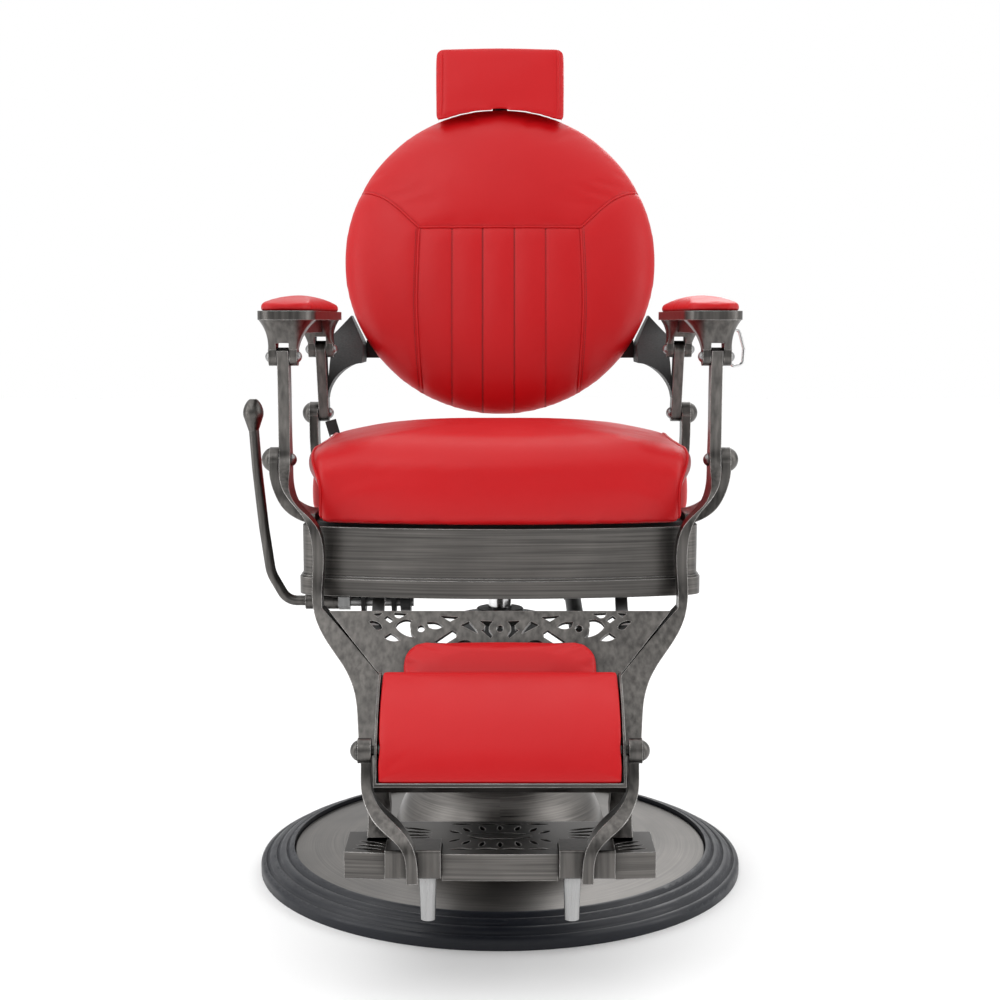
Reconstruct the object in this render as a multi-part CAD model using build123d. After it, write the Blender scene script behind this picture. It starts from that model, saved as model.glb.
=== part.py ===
from build123d import *
import math
import os

# Hydraulic barber chair, in millimetres. +Z is up, the chair faces -Y, and the origin is on the floor
# under the swivel column. Left means the -X side.

# ---------------------------------------------------------------- driving dimensions
RING_R = 350.0  # rubber floor ring
PLATE_R = 302.0  # metal base plate
PLATE_TOP = 38.0  # flat middle of the base plate
BELL_R = 155.0
TANK_R = 64.0
TANK_TOP = 356.0
RAM_R = 17.0
FIT = 0.05  # radial clearance of every running fit
OPEN_FIT = 2.0  # radial clearance at the pivot where the arm linkage is left open
SEAT_GAP = 0.3  # air between faces that turn or slide past each other

SEAT_HALF = 262.0  # half width of the seat frame
SEAT_FRONT = -210.0  # seat frame at its front corners
SEAT_REAR = 192.0
SEAT_BOW = 30.0  # how far the front bulges past its corners
BAND_LOW = 433.0
BAND_TOP = 524.0
BAND_WALL = 6.0
BOARD_TOP = 527.0
CUSHION_TOP = 653.0
BEAM_TOP = 515.0
BEAM_LOW = 491.0

# Pivots of the arm linkage as (Y, Z), and the X centre of each bar on the left side
SEAT_PIVOT_FRONT = (-150.0, 607.0)
SEAT_PIVOT_REAR = (165.0, 652.0)
ARM_PIVOT_FRONT = (-186.0, 746.0)
ARM_PIVOT_REAR = (130.0, 750.0)
POST_X_PIVOT = -288.0
POST_X_ARM = -284.5
LINK_X = -270.0
BAR = 15.0  # thickness of the posts and links across the chair

BACK_TILT = 12.0
BACK_R = 250.0
BACK_CENTRE = (0.0, 255.0, 890.0)
HEADREST_HALF = 101.0
HINGE_V = 282.0  # headrest hinge, up the backrest's plane
HINGE_W = -50.0  # and behind it

ARM_TOP = 804.0
ARM_LOW = 794.0
ARM_CENTRE = (-278.5, -27.0)
ARM_SIZE = (77.0, 390.0)
TRIGGER_PIVOT = (306.0, -110.0, 781.0)

# Leg panel: its top edge, and the slope it runs down at
PANEL_TOP = (-265.0, 420.0)
PANEL_SLOPE = math.atan2(196.0, 135.0)
PANEL_THICK = 7.0

FOOT_TOP = 175.0
FOOT_LOW = 143.0
PAD_PIVOT = (-440.0, 285.0)  # (Y, Z) of the flip pad's hinge
PAD_HALF = 149.0
LEVER_AXIS = (-100.0, 406.0)  # (Y, Z) of the pump lever's shaft

SPRING_X = 110.0
SPRING_REAR = (120.0, 380.0)
SPRING_FRONT = (-300.0, 330.0)

BACK_PLANE = Plane(
    origin=BACK_CENTRE,
    x_dir=(1, 0, 0),
    z_dir=(0, -math.cos(math.radians(BACK_TILT)), math.sin(math.radians(BACK_TILT))),
)
PANEL_PLANE = Plane(
    origin=(0, PANEL_TOP[0], PANEL_TOP[1]),
    x_dir=(1, 0, 0),
    z_dir=(0, -math.sin(PANEL_SLOPE), math.cos(PANEL_SLOPE)),
)


# ---------------------------------------------------------------- helpers
def save(name, part):
    """Writes one sub-part to its STEP file."""
    export_step(part, os.path.join("parts", name + ".step"))


def save_pair(name, left):
    """Writes a left sub-part and its mirror image on the right."""
    save(name + "_left", left)
    save(name + "_right", mirror(left, Plane.YZ))


def with_mirror(left):
    """A left-hand solid together with its mirror image."""
    return left + mirror(left, Plane.YZ)


def outline(points):
    """Closed face from (x, y, bulge) points, anticlockwise. A bulge is how far the run to the next
    point swells outward as an arc, and 0 is a straight run."""
    edges = []
    for (x0, y0, bulge), (x1, y1, _) in zip(points, points[1:] + points[:1]):
        if bulge == 0:
            edges.append(Line((x0, y0), (x1, y1)))
            continue
        length = math.hypot(x1 - x0, y1 - y0)
        middle_x = (x0 + x1) / 2 + bulge * (y1 - y0) / length
        middle_y = (y0 + y1) / 2 + bulge * (x0 - x1) / length
        edges.append(ThreePointArc((x0, y0), (middle_x, middle_y), (x1, y1)))
    return make_face(edges)


def ribbon(stations):
    """Closed face along a smooth centre line of (x, y, width) stations."""
    left = []
    right = []
    before = [stations[0]] + stations[:-1]
    after = stations[1:] + [stations[-1]]
    for (x0, y0, _), (x, y, width), (x1, y1, _) in zip(before, stations, after):
        half = width / 2 / math.hypot(x1 - x0, y1 - y0)
        left.append((x - (y1 - y0) * half, y + (x1 - x0) * half))
        right.append((x + (y1 - y0) * half, y - (x1 - x0) * half))
    edges = [
        Spline(*left),
        Line(left[-1], right[-1]),
        Spline(*right[::-1]),
        Line(right[0], left[0]),
    ]
    return make_face(edges)


def crossed(front, side):
    """The solid with one face as its front view and the other as its side view."""
    reach = 700
    return extrude(Plane.XZ * front, reach, both=True) & extrude(Plane.YZ * side, reach, both=True)


def block(x0, x1, y0, y1, z0, z1):
    """Box between two corners."""
    middle = Pos((x0 + x1) / 2, (y0 + y1) / 2, (z0 + z1) / 2)
    return middle * Box(abs(x1 - x0), abs(y1 - y0), abs(z1 - z0))


def disc_x(radius, x0, x1, centre):
    """Cylinder along X between x0 and x1, centred on a (Y, Z) point."""
    middle = Pos((x0 + x1) / 2, centre[0], centre[1])
    return middle * Rot(0, 90, 0) * Cylinder(radius, abs(x1 - x0))


def disc_z(radius, z0, z1, x=0, y=0):
    """Cylinder along Z between z0 and z1."""
    return Pos(x, y, (z0 + z1) / 2) * Cylinder(radius, z1 - z0)


def turned(points):
    """Solid of revolution about Z from (radius, z, bulge) points."""
    return revolve(Plane.XZ * outline(points), Axis.Z)


def dome_x(radius, x, centre, outward, sunk=0.35):
    """Part of a ball that stands out past x, towards outward (+1 or -1). Its middle is sunk behind x
    by a share of its radius."""
    latitude = math.degrees(math.asin(sunk))
    dome = Sphere(radius, arc_size1=latitude, align=(Align.CENTER, Align.CENTER, Align.MIN))
    return Pos(x, centre[0], centre[1]) * Rot(0, 90 * outward, 0) * dome


def link_x(x0, x1, first, second, radius):
    """Straight bar with round ends between two (Y, Z) pivots."""
    dy = second[0] - first[0]
    dz = second[1] - first[1]
    length = math.hypot(dy, dz)
    web = Box(x1 - x0, length, radius * 2)
    centre = Pos((x0 + x1) / 2, (first[0] + second[0]) / 2, (first[1] + second[1]) / 2)
    bar = centre * Rot(math.degrees(math.atan2(dz, dy)), 0, 0) * web
    return bar + disc_x(radius, x0, x1, first) + disc_x(radius, x0, x1, second)


def seat_outline(grow):
    """Plan of the seat frame, grown or shrunk all round."""
    half = SEAT_HALF + grow
    front = SEAT_FRONT - grow
    rear = SEAT_REAR + grow
    corner = 22
    swell = 5
    return outline([
        (-half, rear - corner, 0),
        (-half, front + corner, swell),
        (-half + corner, front, SEAT_BOW),
        (half - corner, front, swell),
        (half, front + corner, 0),
        (half, rear - corner, swell),
        (half - corner, rear, 0),
        (-half + corner, rear, swell),
    ])


def slab(face, z0, z1):
    """Face in plan, made solid between two heights."""
    return Pos(0, 0, z0) * extrude(face, z1 - z0)


# ---------------------------------------------------------------- base
def base_plate():
    """Cast plate with a hub in the middle and a rim, hollow underneath."""
    hub = 95
    rim = 280
    body = turned([
        (0, 0, 0),
        (hub, 0, 0),
        (hub, 27, 0),
        (rim, 16, 0),
        (rim, 0, 0),
        (PLATE_R, 0, 0),
        (PLATE_R, 25, 1),
        (PLATE_R - 4, 28, 0),
        (BELL_R + 12, PLATE_TOP, 0),
        (0, PLATE_TOP, 0),
    ])
    return body - bolt_shanks()


def base_ring():
    """Rubber ring round the plate, with stepped ridges."""
    return turned([
        (PLATE_R, 0, 0),
        (RING_R, 0, 0),
        (RING_R, 8, 2.5),
        (343, 17, 0),
        (341, 15, 0),
        (338, 18, 2),
        (328, 24, 0),
        (326, 22, 0),
        (323, 25, 2),
        (314, 29.5, 0),
        (312, 27.5, 0),
        (309, 31, 1),
        (PLATE_R, 34, 0),
    ])


def column_bell():
    """Domed cover over the foot of the pump."""
    return turned([
        (BELL_R - 6, PLATE_TOP, 0),
        (BELL_R + 7, PLATE_TOP, 0),
        (BELL_R + 7, 42, 1),
        (BELL_R, 45, 20),
        (TANK_R + 8, 158, 0),
        (TANK_R + 8, 168, 1),
        (TANK_R + 5, 171, 0),
        (TANK_R, 171, 0),
        (TANK_R, 152, -19),
        (BELL_R - 6, 45, 0),
    ])


def pump_tank():
    """Oil tank with its mounting flange, open at the top."""
    wall = 6
    flange = 92
    body = turned([
        (0, PLATE_TOP, 0),
        (flange, PLATE_TOP, 0),
        (flange, 46, 0),
        (TANK_R, 46, 0),
        (TANK_R, TANK_TOP, 0),
        (TANK_R - wall, TANK_TOP, 0),
        (TANK_R - wall, 46, 0),
        (0, 46, 0),
    ])
    return body - bolt_shanks()


def pump_cylinder():
    """Inner tube that guides the ram."""
    return turned([
        (RAM_R + FIT, 46, 0),
        (27, 46, 0),
        (27, TANK_TOP, 0),
        (RAM_R + FIT, TANK_TOP, 0),
    ])


def gland_collar():
    """Top cap of the tank with the ram's seal seat."""
    return turned([
        (RAM_R + FIT, TANK_TOP, 0),
        (TANK_R + 2, TANK_TOP, 0),
        (TANK_R + 2, 362, 1.5),
        (TANK_R - 4, 367, 0),
        (36, 369, 0),
        (34, 376, 1),
        (31, 378, 0),
        (RAM_R + FIT, 378, 0),
    ])


def bolt_places():
    """Centres of the four tank bolts."""
    return [place.position for place in PolarLocations(78, 4, start_angle=45)]


def bolt_shanks():
    """Threaded shanks of the tank bolts."""
    shanks = [disc_z(4.5, 16, 46, p.X, p.Y) for p in bolt_places()]
    return Part() + shanks


def tank_bolts():
    """Hex bolts that hold the tank to the plate."""
    heads = [Pos(p.X, p.Y, 46) * extrude(RegularPolygon(8, 6), 7) for p in bolt_places()]
    return bolt_shanks() + heads


# ---------------------------------------------------------------- lifting ram and swivel
def ram():
    """Chrome ram with the shoulder that the seat turns on."""
    return disc_z(RAM_R, 60, 476) + disc_z(26, 428, 434)


def thrust_bearing():
    """Bearing ring on the ram's shoulder."""
    return disc_z(27, 434, 441) - disc_z(RAM_R, 434, 441)


def swivel_head():
    """Hub that turns on the ram, with the flange under the seat beams."""
    hub = disc_z(38, 441 + SEAT_GAP, 483) + block(-92, 92, -120, 100, 483, BEAM_LOW)
    gussets = block(-85, 85, -4, 4, 452, 483) + block(-4, 4, -90, 90, 452, 483)
    return hub + gussets - disc_z(RAM_R + FIT, 441, 478)


# ---------------------------------------------------------------- seat
def seat_frame():
    """Deep bowed band with a thicker lower edge."""
    band = slab(seat_outline(0), BAND_LOW, BAND_TOP) - slab(seat_outline(-BAND_WALL), BAND_LOW, BAND_TOP)
    lip = slab(seat_outline(4), BAND_LOW, 456) - slab(seat_outline(0), BAND_LOW, 456)
    step = slab(seat_outline(2), 456, 459) - slab(seat_outline(0), 456, 459)
    return band + lip + step


def seat_beams():
    """Two box beams across the frame, one above each end of the swivel flange."""
    reach = SEAT_HALF - BAND_WALL
    beams = Part()
    for y in (-100, 80):
        beam = block(-reach, reach, y - 18, y + 18, BEAM_LOW, BEAM_TOP)
        beams += beam - block(-reach, reach, y - 15, y + 15, BEAM_LOW + 3, BEAM_TOP - 3)
    return beams


def seat_board():
    """Plywood board under the cushion."""
    return slab(seat_outline(-17), BEAM_TOP, BOARD_TOP)


def cushion_crown(width_radius, depth_radius, top, middle_y):
    """Tall solid whose top is gently crowned both ways."""
    length = 1400
    across = Pos(0, 0, top - width_radius) * Rot(90, 0, 0) * Cylinder(width_radius, length)
    along = Pos(0, middle_y, top - depth_radius) * Rot(0, 90, 0) * Cylinder(depth_radius, length)
    return across & along


def seat_cushion():
    """Deep seat cushion, notched at its lower sides for the pivot brackets."""
    plan = outline([
        (-262, 138, 0),
        (-262, -140, 3),
        (-243, -203, 2),
        (-236, SEAT_FRONT, SEAT_BOW - 2),
        (236, SEAT_FRONT, 2),
        (243, -203, 3),
        (262, -140, 0),
        (262, 138, 3),
        (249, 160, 0),
        (-249, 160, 3),
    ])
    body = slab(plan, BOARD_TOP, CUSHION_TOP) & cushion_crown(1000, 900, CUSHION_TOP, -40)
    for y0, y1 in ((-192, -88), (104, 170)):
        body -= with_mirror(block(-270, -240, y0, y1, BOARD_TOP, 562))
    return body


def pull_tab():
    """Blank woven tab sewn into the seat's rear left seam."""
    tab = Pos(-256, 147, 630) * Rot(0, -16, 0) * Box(17, 2, 24)
    return tab - seat_cushion()


def on_band(arm, x_outer, y0, y1):
    """Left bracket arm, trimmed to its boss and to the band, with the plate that bolts inside the band."""
    inner = -(SEAT_HALF - BAND_WALL)
    arm &= block(x_outer, inner + 9, -250, 250, BAND_TOP - 2, 700)
    arm -= block(x_outer, inner, -250, 250, BAND_TOP - 2, BAND_TOP)
    return arm + block(inner, inner + 9, y0, y1, 484, 532)


def front_bracket():
    """Curved left bracket that carries the front post's pivot."""
    front = ribbon([
        (-303, 607, 12),
        (-303, 590, 12),
        (-297, 566, 12.5),
        (-284, 546, 13),
        (-268, 535, 12),
        (-256, 531, 12),
        (-247, 530.5, 12),
    ])
    side = ribbon([
        (-150, 607, 33),
        (-150, 590, 33),
        (-146, 565, 40),
        (-142, 545, 60),
        (-141, 520, 86),
    ])
    boss = disc_x(17, -309, -297, SEAT_PIVOT_FRONT)
    hole = disc_x(6, -309, -297, SEAT_PIVOT_FRONT)
    return on_band(crossed(front, side), -309, -180, -120) + boss - hole


def rear_bracket():
    """Curved left bracket that carries the backrest's pivot."""
    front = ribbon([
        (-285.2, 652, 13.4),
        (-285, 622, 13),
        (-283, 592, 13),
        (-276, 562, 13),
        (-264, 541, 12.5),
        (-254, 531.5, 12),
        (-247, 530.5, 12),
    ])
    side = ribbon([
        (165, 652, 33),
        (163, 622, 32),
        (158, 590, 34),
        (151, 555, 46),
        (146, 520, 66),
    ])
    boss = disc_x(17, -292, -278.5, SEAT_PIVOT_REAR)
    hole = disc_x(6, -292, -278.5, SEAT_PIVOT_REAR)
    return on_band(crossed(front, side), -292, 114, 162) + boss - hole


def ball_cap(x, centre):
    """Ball end on the outside of a pivot bracket."""
    return dome_x(17, x, centre, -1, sunk=0.3)


def pivot_caps():
    """Ball ends of the four seat pivots."""
    return with_mirror(ball_cap(-309, SEAT_PIVOT_FRONT) + ball_cap(-292, SEAT_PIVOT_REAR))


def seat_pivot_bolt(x_outer, x_head, centre):
    """Bolt from the inside through the bar into the bracket."""
    return disc_x(6, x_outer, x_head, centre) + dome_x(9.5, x_head, centre, 1)


def pivot_bolts():
    """Bolts of the four seat pivots."""
    front = seat_pivot_bolt(-309, POST_X_PIVOT + BAR / 2 + 0.7, SEAT_PIVOT_FRONT)
    rear = seat_pivot_bolt(-292, LINK_X + BAR / 2 + 0.7, SEAT_PIVOT_REAR)
    return with_mirror(front + rear)


def leg_stops():
    """Two bent straps under the frame that the leg panel rests against."""
    side = ribbon([
        (-209, 512, 7),
        (-209, 470, 7),
        (-209, 446, 7),
        (-213, 428, 7),
        (-231, 410, 7),
        (-266, 386, 7),
    ])
    left = block(-168, -152, -400, 0, 300, 600) & extrude(Plane.YZ * side, 300, both=True)
    return with_mirror(left)


def stop_bumpers():
    """Rubber blocks between the straps and the back of the leg panel."""
    gap = PANEL_THICK / 2 + SEAT_GAP
    body = PANEL_PLANE * Pos(-160, -28, -gap - 5) * Box(16, 22, 10)
    return with_mirror(body) - leg_stops()


def spring_anchor():
    """Two cheeks and a pin under the rear beam that hold the gas spring."""
    cheeks = Part()
    for x in (SPRING_X - 12, SPRING_X + 7):
        cheek = block(x, x + 5, 66, 94, 420, BEAM_LOW)
        cheeks += cheek + link_x(x, x + 5, (80, 430), SPRING_REAR, 12)
    return cheeks + disc_x(5, SPRING_X - 12, SPRING_X + 12, SPRING_REAR)


def lever_bearings():
    """Two plates under the front beam that carry the lever's shaft."""
    plates = Part()
    for x in (-192, -150):
        plates += block(x, x + 6, -118, -82, 400, BEAM_LOW) + disc_x(18, x, x + 6, LEVER_AXIS)
    return plates - disc_x(8 + FIT, -200, -140, LEVER_AXIS)


def seat_screws():
    """Screws through the band into the two beams' ends."""
    heads = Part()
    for y in (-100, 80):
        heads += dome_x(8, -SEAT_HALF, (y, 503), -1)
    return with_mirror(heads)


# ---------------------------------------------------------------- pump lever
def lever_arm():
    """Long hand lever with a club end, bent under the seat frame."""
    y, z = LEVER_AXIS
    radius = 7
    grip_x = -339
    route = [(-266, z), (-296, z), (-318, 445), (-327, 510), (-335, 590), (grip_x, 650)]
    path = FilletPolyline(*[(x, y, height) for x, height in route], radius=[24, 50, 300, 500])
    start = Plane(origin=path @ 0, z_dir=path % 0)
    rod = sweep(start * Circle(radius), path)
    grip = turned([
        (0, 640, 0),
        (radius - 1, 640, 0),
        (13.5, 662, 1),
        (12.5, 675, 1),
        (5, 686, 0),
        (0, 686, 0),
    ])
    boss = disc_x(12, -270, -224, LEVER_AXIS)
    return rod + Pos(grip_x, y, 0) * grip + boss - disc_x(8, -262, -224, LEVER_AXIS)


def lever_shaft():
    """Shaft that the lever turns, with the cam that works the pump valve."""
    return disc_x(8, -262, -120, LEVER_AXIS)


def lever_cam():
    """Cam keyed to the inner end of the lever's shaft."""
    cam = link_x(-138, -124, LEVER_AXIS, (LEVER_AXIS[0] + 12, LEVER_AXIS[1] - 4), 14)
    return cam - disc_x(8, -138, -124, LEVER_AXIS)


def lever_nut():
    """Hex nut that clamps the lever on its shaft."""
    hexagon = extrude(RegularPolygon(13, 6), 8, both=True)
    nut = Pos(-216, LEVER_AXIS[0], LEVER_AXIS[1]) * Rot(0, 90, 0) * hexagon
    return nut - disc_x(8, -230, -200, LEVER_AXIS)


# ---------------------------------------------------------------- front posts and leg rest
def front_post():
    """Left post: from the armrest, round the seat pivot, down the seat's front, and flared into the leg."""
    outer = [
        (POST_X_ARM - 7.5, 758),
        (POST_X_ARM - 7.5, 746),
        (-294, 680),
        (POST_X_PIVOT - 7.5, 612),
        (-292.5, 588),
        (-280.5, 568),
        (-264, 551),
        (-250, 533),
        (-243.5, 510),
        (-242.5, 470),
        (-243, 440),
        (-238, 415),
        (-227, 394),
        (-211, 374),
        (-192, 350),
        (-180, 322),
        (-175, 285),
        (-167, 245),
        (-160, 210),
        (-160, 170),
    ]
    inner = [
        (-229.5, 425),
        (-229, 470),
        (-230, 510),
        (-236, 527),
        (-250, 543),
        (-266, 557),
        (-276.5, 575),
        (-280, 598),
        (POST_X_PIVOT + 7.5, 620),
        (-278.5, 680),
        (POST_X_ARM + 7.5, 746),
        (POST_X_ARM + 7.5, 758),
    ]
    front = make_face([
        Spline(*outer),
        Polyline(outer[-1], (-132, 170), (-132, 210), (-147, 300), (-149, 345), (-183, 380), inner[0]),
        Spline(*inner),
        Line(inner[-1], outer[0]),
    ])
    side = ribbon([
        (-189, 757, 24),
        (-186, 746, 24),
        (-171, 690, 22),
        (-155, 635, 26),
        (-153, 606, 32),
        (-176, 581, 28),
        (-212, 561, 26),
        (-237, 532, 25),
        (-240, 490, 24),
        (-243, 445, 24),
        (-258, 412, 24),
        (-290, 368, 22),
        (-345, 300, 20),
        (-400, 224, 18),
        (-436, 174, 18),
    ])
    body = crossed(front, side)
    body += disc_x(16, POST_X_PIVOT - 7.5, POST_X_PIVOT + 7.5, SEAT_PIVOT_FRONT)
    body -= disc_x(6 + FIT, -310, -270, SEAT_PIVOT_FRONT)
    body -= disc_x(5 + OPEN_FIT, -310, -270, ARM_PIVOT_FRONT)
    return body - block(-300, -100, -600, -380, 100, FOOT_TOP)


def panel_cutouts():
    """Left half of the fretwork, as closed faces in the panel's own plane, y down from its top edge."""
    shapes = [
        [(-163, -4, 0), (-157, -9, 0), (-151, -3, 0)],
        [(-149, -11, 0), (-141, -17, 0), (-136, -13, 0), (-145, -7, 0)],
        [(-136, -3, 3), (-128, -10, 0), (-119, -4, 0)],
        [(-168, -15, 0), (-160, -25, 2), (-151, -24, 2), (-160, -15, 1)],
        [(-134, -22, 4), (-108, -37, -3), (-114, -24, -2), (-113, -14, 5)],
        [(-148, -37, 3), (-128, -41, 1), (-140, -31, 0)],
        [(-94, -16, 0), (-91, -23, 3), (-73, -22, 1), (-84, -16, 0)],
        [(-77, -7, 0), (-64, -15, 0), (-53, -9, 0)],
        [(-84, -44, 0), (-68, -45, 0), (-56, -37, 0), (-55, -31, 0), (-61, -27, 0)],
        [(-50, -20, 0), (-28, -32, 1), (-40, -15, 0)],
        [(-56, -46, 0), (-34, -46, 5)],
        [
            (-24, -27, 0), (-12, -38, 0), (-9, -34, 0), (-14, -27, -2),
            (-9, -15, 0), (-26, -14, 0), (-19, -20, -2),
        ],
    ]
    faces = [outline(points) for points in shapes]
    faces.append(Pos(-101, -25) * Circle(4.6))
    return faces


def leg_panel():
    """Fretwork plate between the two posts."""
    length = 150
    plan = outline([
        (-220, 0, 0),
        (-184, -47, 0),
        (-150, -91, 0),
        (-147.5, -length, 0),
        (147.5, -length, 0),
        (150, -91, 0),
        (184, -47, 0),
        (220, 0, 0),
        (0, 0, 0),
    ])
    half = PANEL_THICK / 2
    plate = extrude(PANEL_PLANE * plan, half, both=True)
    for face in panel_cutouts():
        plate -= with_mirror(extrude(PANEL_PLANE * face, PANEL_THICK, both=True))
    plate -= extrude(PANEL_PLANE * Pos(0, -25) * Circle(4.4), PANEL_THICK, both=True)
    return plate - with_mirror(front_post())


def calf_pad():
    """Upright pad on the front of the leg panel."""
    plan = outline([
        (-123, -115, 0),
        (123, -115, 0),
        (123, -76, 9),
        (92, -47, 1.5),
        (-92, -47, 9),
        (-123, -76, 0),
    ])
    front = PANEL_THICK / 2
    return extrude(PANEL_PLANE * Pos(0, 0, front) * plan, 18)


def spring_lug():
    """Lug behind the leg panel that the gas spring's rod pushes on."""
    lug = Part()
    for x in (SPRING_X - 12, SPRING_X + 7):
        lug += link_x(x, x + 5, SPRING_FRONT, (SPRING_FRONT[0] - 21, SPRING_FRONT[1] - 15), 10)
    lug += disc_x(5, SPRING_X - 12, SPRING_X + 12, SPRING_FRONT)
    panel = extrude(PANEL_PLANE * Rectangle(700, 700), PANEL_THICK / 2, both=True)
    front = extrude(PANEL_PLANE * Rectangle(700, 700), 100)
    return lug - panel - front


def footboard_plan(inset):
    """Stepped outline of the footboard, with a bowed front."""
    end = 183 - inset
    front = -482 + inset
    return outline([
        (-end, -407 - inset, 0),
        (-end, front, 0),
        (-end + 8, front - 1, 9 if inset == 0 else 8),
        (end - 8, front - 1, 0),
        (end, front, 0),
        (end, -407 - inset, 0),
        (163 - inset, -407 - inset, 0),
        (163 - inset, -379 - inset, 0),
        (149 - inset, -379 - inset, 0),
        (149 - inset, -368 - inset, 0),
        (-149 + inset, -368 - inset, 0),
        (-149 + inset, -379 - inset, 0),
        (-163 + inset, -379 - inset, 0),
        (-163 + inset, -407 - inset, 0),
    ])


def leaf(length, width):
    """Pointed leaf along X, centred on the origin."""
    bulge = width / 2
    return outline([(-length / 2, 0, bulge), (length / 2, 0, bulge)])


def footboard_cutouts():
    """Scroll fretwork of the footboard: rays round an oval ring, and fans of leaves at both ends."""
    faces = []
    rays = 18
    for index in range(rays):
        angle = 2 * math.pi * (index + 0.5) / rays
        x = 63 * math.cos(angle)
        y = -425 + 31 * math.sin(angle)
        if abs(math.sin(angle)) < 0.2:
            continue
        turn = math.degrees(math.atan2(31 * math.sin(angle), 63 * math.cos(angle) * 0.35))
        faces.append(Pos(x, y) * Rot(0, 0, turn) * leaf(19, 6.4))
    for side in (-1, 1):
        for row in range(5):
            y = -444 + row * 11.5
            faces.append(Pos(side * 101, y) * Rot(0, 0, side * (row * 9 - 18)) * leaf(38, 7))
        for row in range(3):
            y = -472 + row * 11
            faces.append(Pos(side * (156 - row * 2), y) * Rot(0, 0, side * (row * 8 + 6)) * leaf(34, 7))
        for column in range(2):
            faces.append(Pos(side * (15 + column * 32), -472) * leaf(27, 6))
            faces.append(Pos(side * (15 + column * 32), -379) * leaf(27, 6))
    faces.append(Pos(0, -425) * (Ellipse(40, 13) - Ellipse(33, 9) - Rectangle(90, 5)))
    return faces


def footboard():
    """Cast footboard with a fretwork top, a bowed front and notches for the two blocks."""
    body = slab(footboard_plan(0), FOOT_LOW, FOOT_TOP) - slab(footboard_plan(8), FOOT_LOW, FOOT_TOP - 7)
    for side in (-1, 1):
        body += block(side * 128, side * 166, -452, -412, FOOT_LOW, FOOT_TOP)
        body -= block(side * 135, side * 68, -520, -451, FOOT_LOW - 1, FOOT_TOP + 1)
    for face in footboard_cutouts():
        body -= slab(face, FOOT_TOP - 8, FOOT_TOP + 1)
    return body


def footboard_blocks():
    """Two blocks let into the footboard's front, which carry the pad arms."""
    left = block(-134, -69, -500, -452, 148, 182)
    left = fillet(left.edges().filter_by(Axis.X), 3)
    return with_mirror(left)


def foot_pegs():
    """Two polished tapered pegs under the blocks."""
    left = Pos(-84.5, -482, 121) * Cone(8.6, 10.5, 54)
    return with_mirror(left)


def pad_arm():
    """Left S-shaped arm from the block up to the flip pad's hinge."""
    front = ribbon([
        (-160, 288, 13),
        (-159, 262, 12),
        (-157, 240, 12.5),
        (-147, 222, 13),
        (-124, 205, 13),
        (-107, 188, 13),
        (-102, 168, 13),
        (-101.6, 147, 13),
    ])
    side = ribbon([
        (-440, 288, 16),
        (-443, 262, 14),
        (-452, 240, 14),
        (-469, 219, 14),
        (-492, 203, 14),
        (-505.5, 188, 14),
        (-508, 170, 14),
        (-508, 147, 14),
    ])
    boss = disc_x(15, -169, -153, PAD_PIVOT)
    return crossed(front, side) + boss - disc_x(6 + FIT, -175, -140, PAD_PIVOT)


# ---------------------------------------------------------------- flip pad
def pad_frame(v, n):
    """Point at v along the pad's chord and n in front of it, from the hinge, as (Y, Z)."""
    along = math.atan2(120, 105)
    y = PAD_PIVOT[0] + v * math.cos(along) - n * math.sin(along)
    z = PAD_PIVOT[1] + v * math.sin(along) + n * math.cos(along)
    return y, z


def pad_slab(v0, v1, n_back, n_front, half):
    """Slab bent about X, from v0 to v1 and between two depths. Its front swells more than its back."""
    swell_back = 8
    swell_front = 20
    corners = [pad_frame(v1, n_front), pad_frame(v0, n_front), pad_frame(v0, n_back), pad_frame(v1, n_back)]
    middle = (v0 + v1) / 2
    face = make_face([
        ThreePointArc(corners[0], pad_frame(middle, n_front + swell_front), corners[1]),
        Line(corners[1], corners[2]),
        ThreePointArc(corners[2], pad_frame(middle, n_back + swell_back), corners[3]),
        Line(corners[3], corners[0]),
    ])
    return extrude(Plane.YZ * face, half, both=True)


def pad_tray():
    """Curved metal tray of the flip pad, with a low rim, an open top end and hinge sockets."""
    outer = pad_slab(-45, 110, -20, -6, PAD_HALF)
    inner = pad_slab(-41, 106, -15, 10, PAD_HALF - 3)
    corners = [pad_frame(v, n) for v, n in ((105, -15), (115, -15), (115, 15), (105, 15))]
    open_end = make_face(Polyline(*corners, close=True))
    sockets = with_mirror(disc_x(6, -PAD_HALF - 1, -PAD_HALF + 5, PAD_PIVOT))
    return outer - inner - extrude(Plane.YZ * open_end, PAD_HALF - 3, both=True) - sockets


def foot_pad():
    """Padded face of the flip pad."""
    body = pad_slab(-40.7, 105.7, -14.7, -2, PAD_HALF - 3.3)
    return body - with_mirror(disc_x(10, -PAD_HALF, -PAD_HALF + 10, PAD_PIVOT))


def pad_pins():
    """Hinge pins of the flip pad, with their end caps."""
    left = disc_x(6, -170, -PAD_HALF + 9, PAD_PIVOT) + disc_x(8, -PAD_HALF + 4.3, -PAD_HALF + 9, PAD_PIVOT)
    return with_mirror(left + dome_x(13, -170, PAD_PIVOT, -1))


# ---------------------------------------------------------------- backrest
def back_link():
    """Left link from the seat pivot up to the armrest."""
    inner = LINK_X + BAR / 2
    outer = LINK_X - BAR / 2
    bar = link_x(outer, inner, SEAT_PIVOT_REAR, ARM_PIVOT_REAR, 13)
    return bar - disc_x(6 + FIT, -300, -240, SEAT_PIVOT_REAR) - disc_x(5 + FIT, -300, -240, ARM_PIVOT_REAR)


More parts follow.
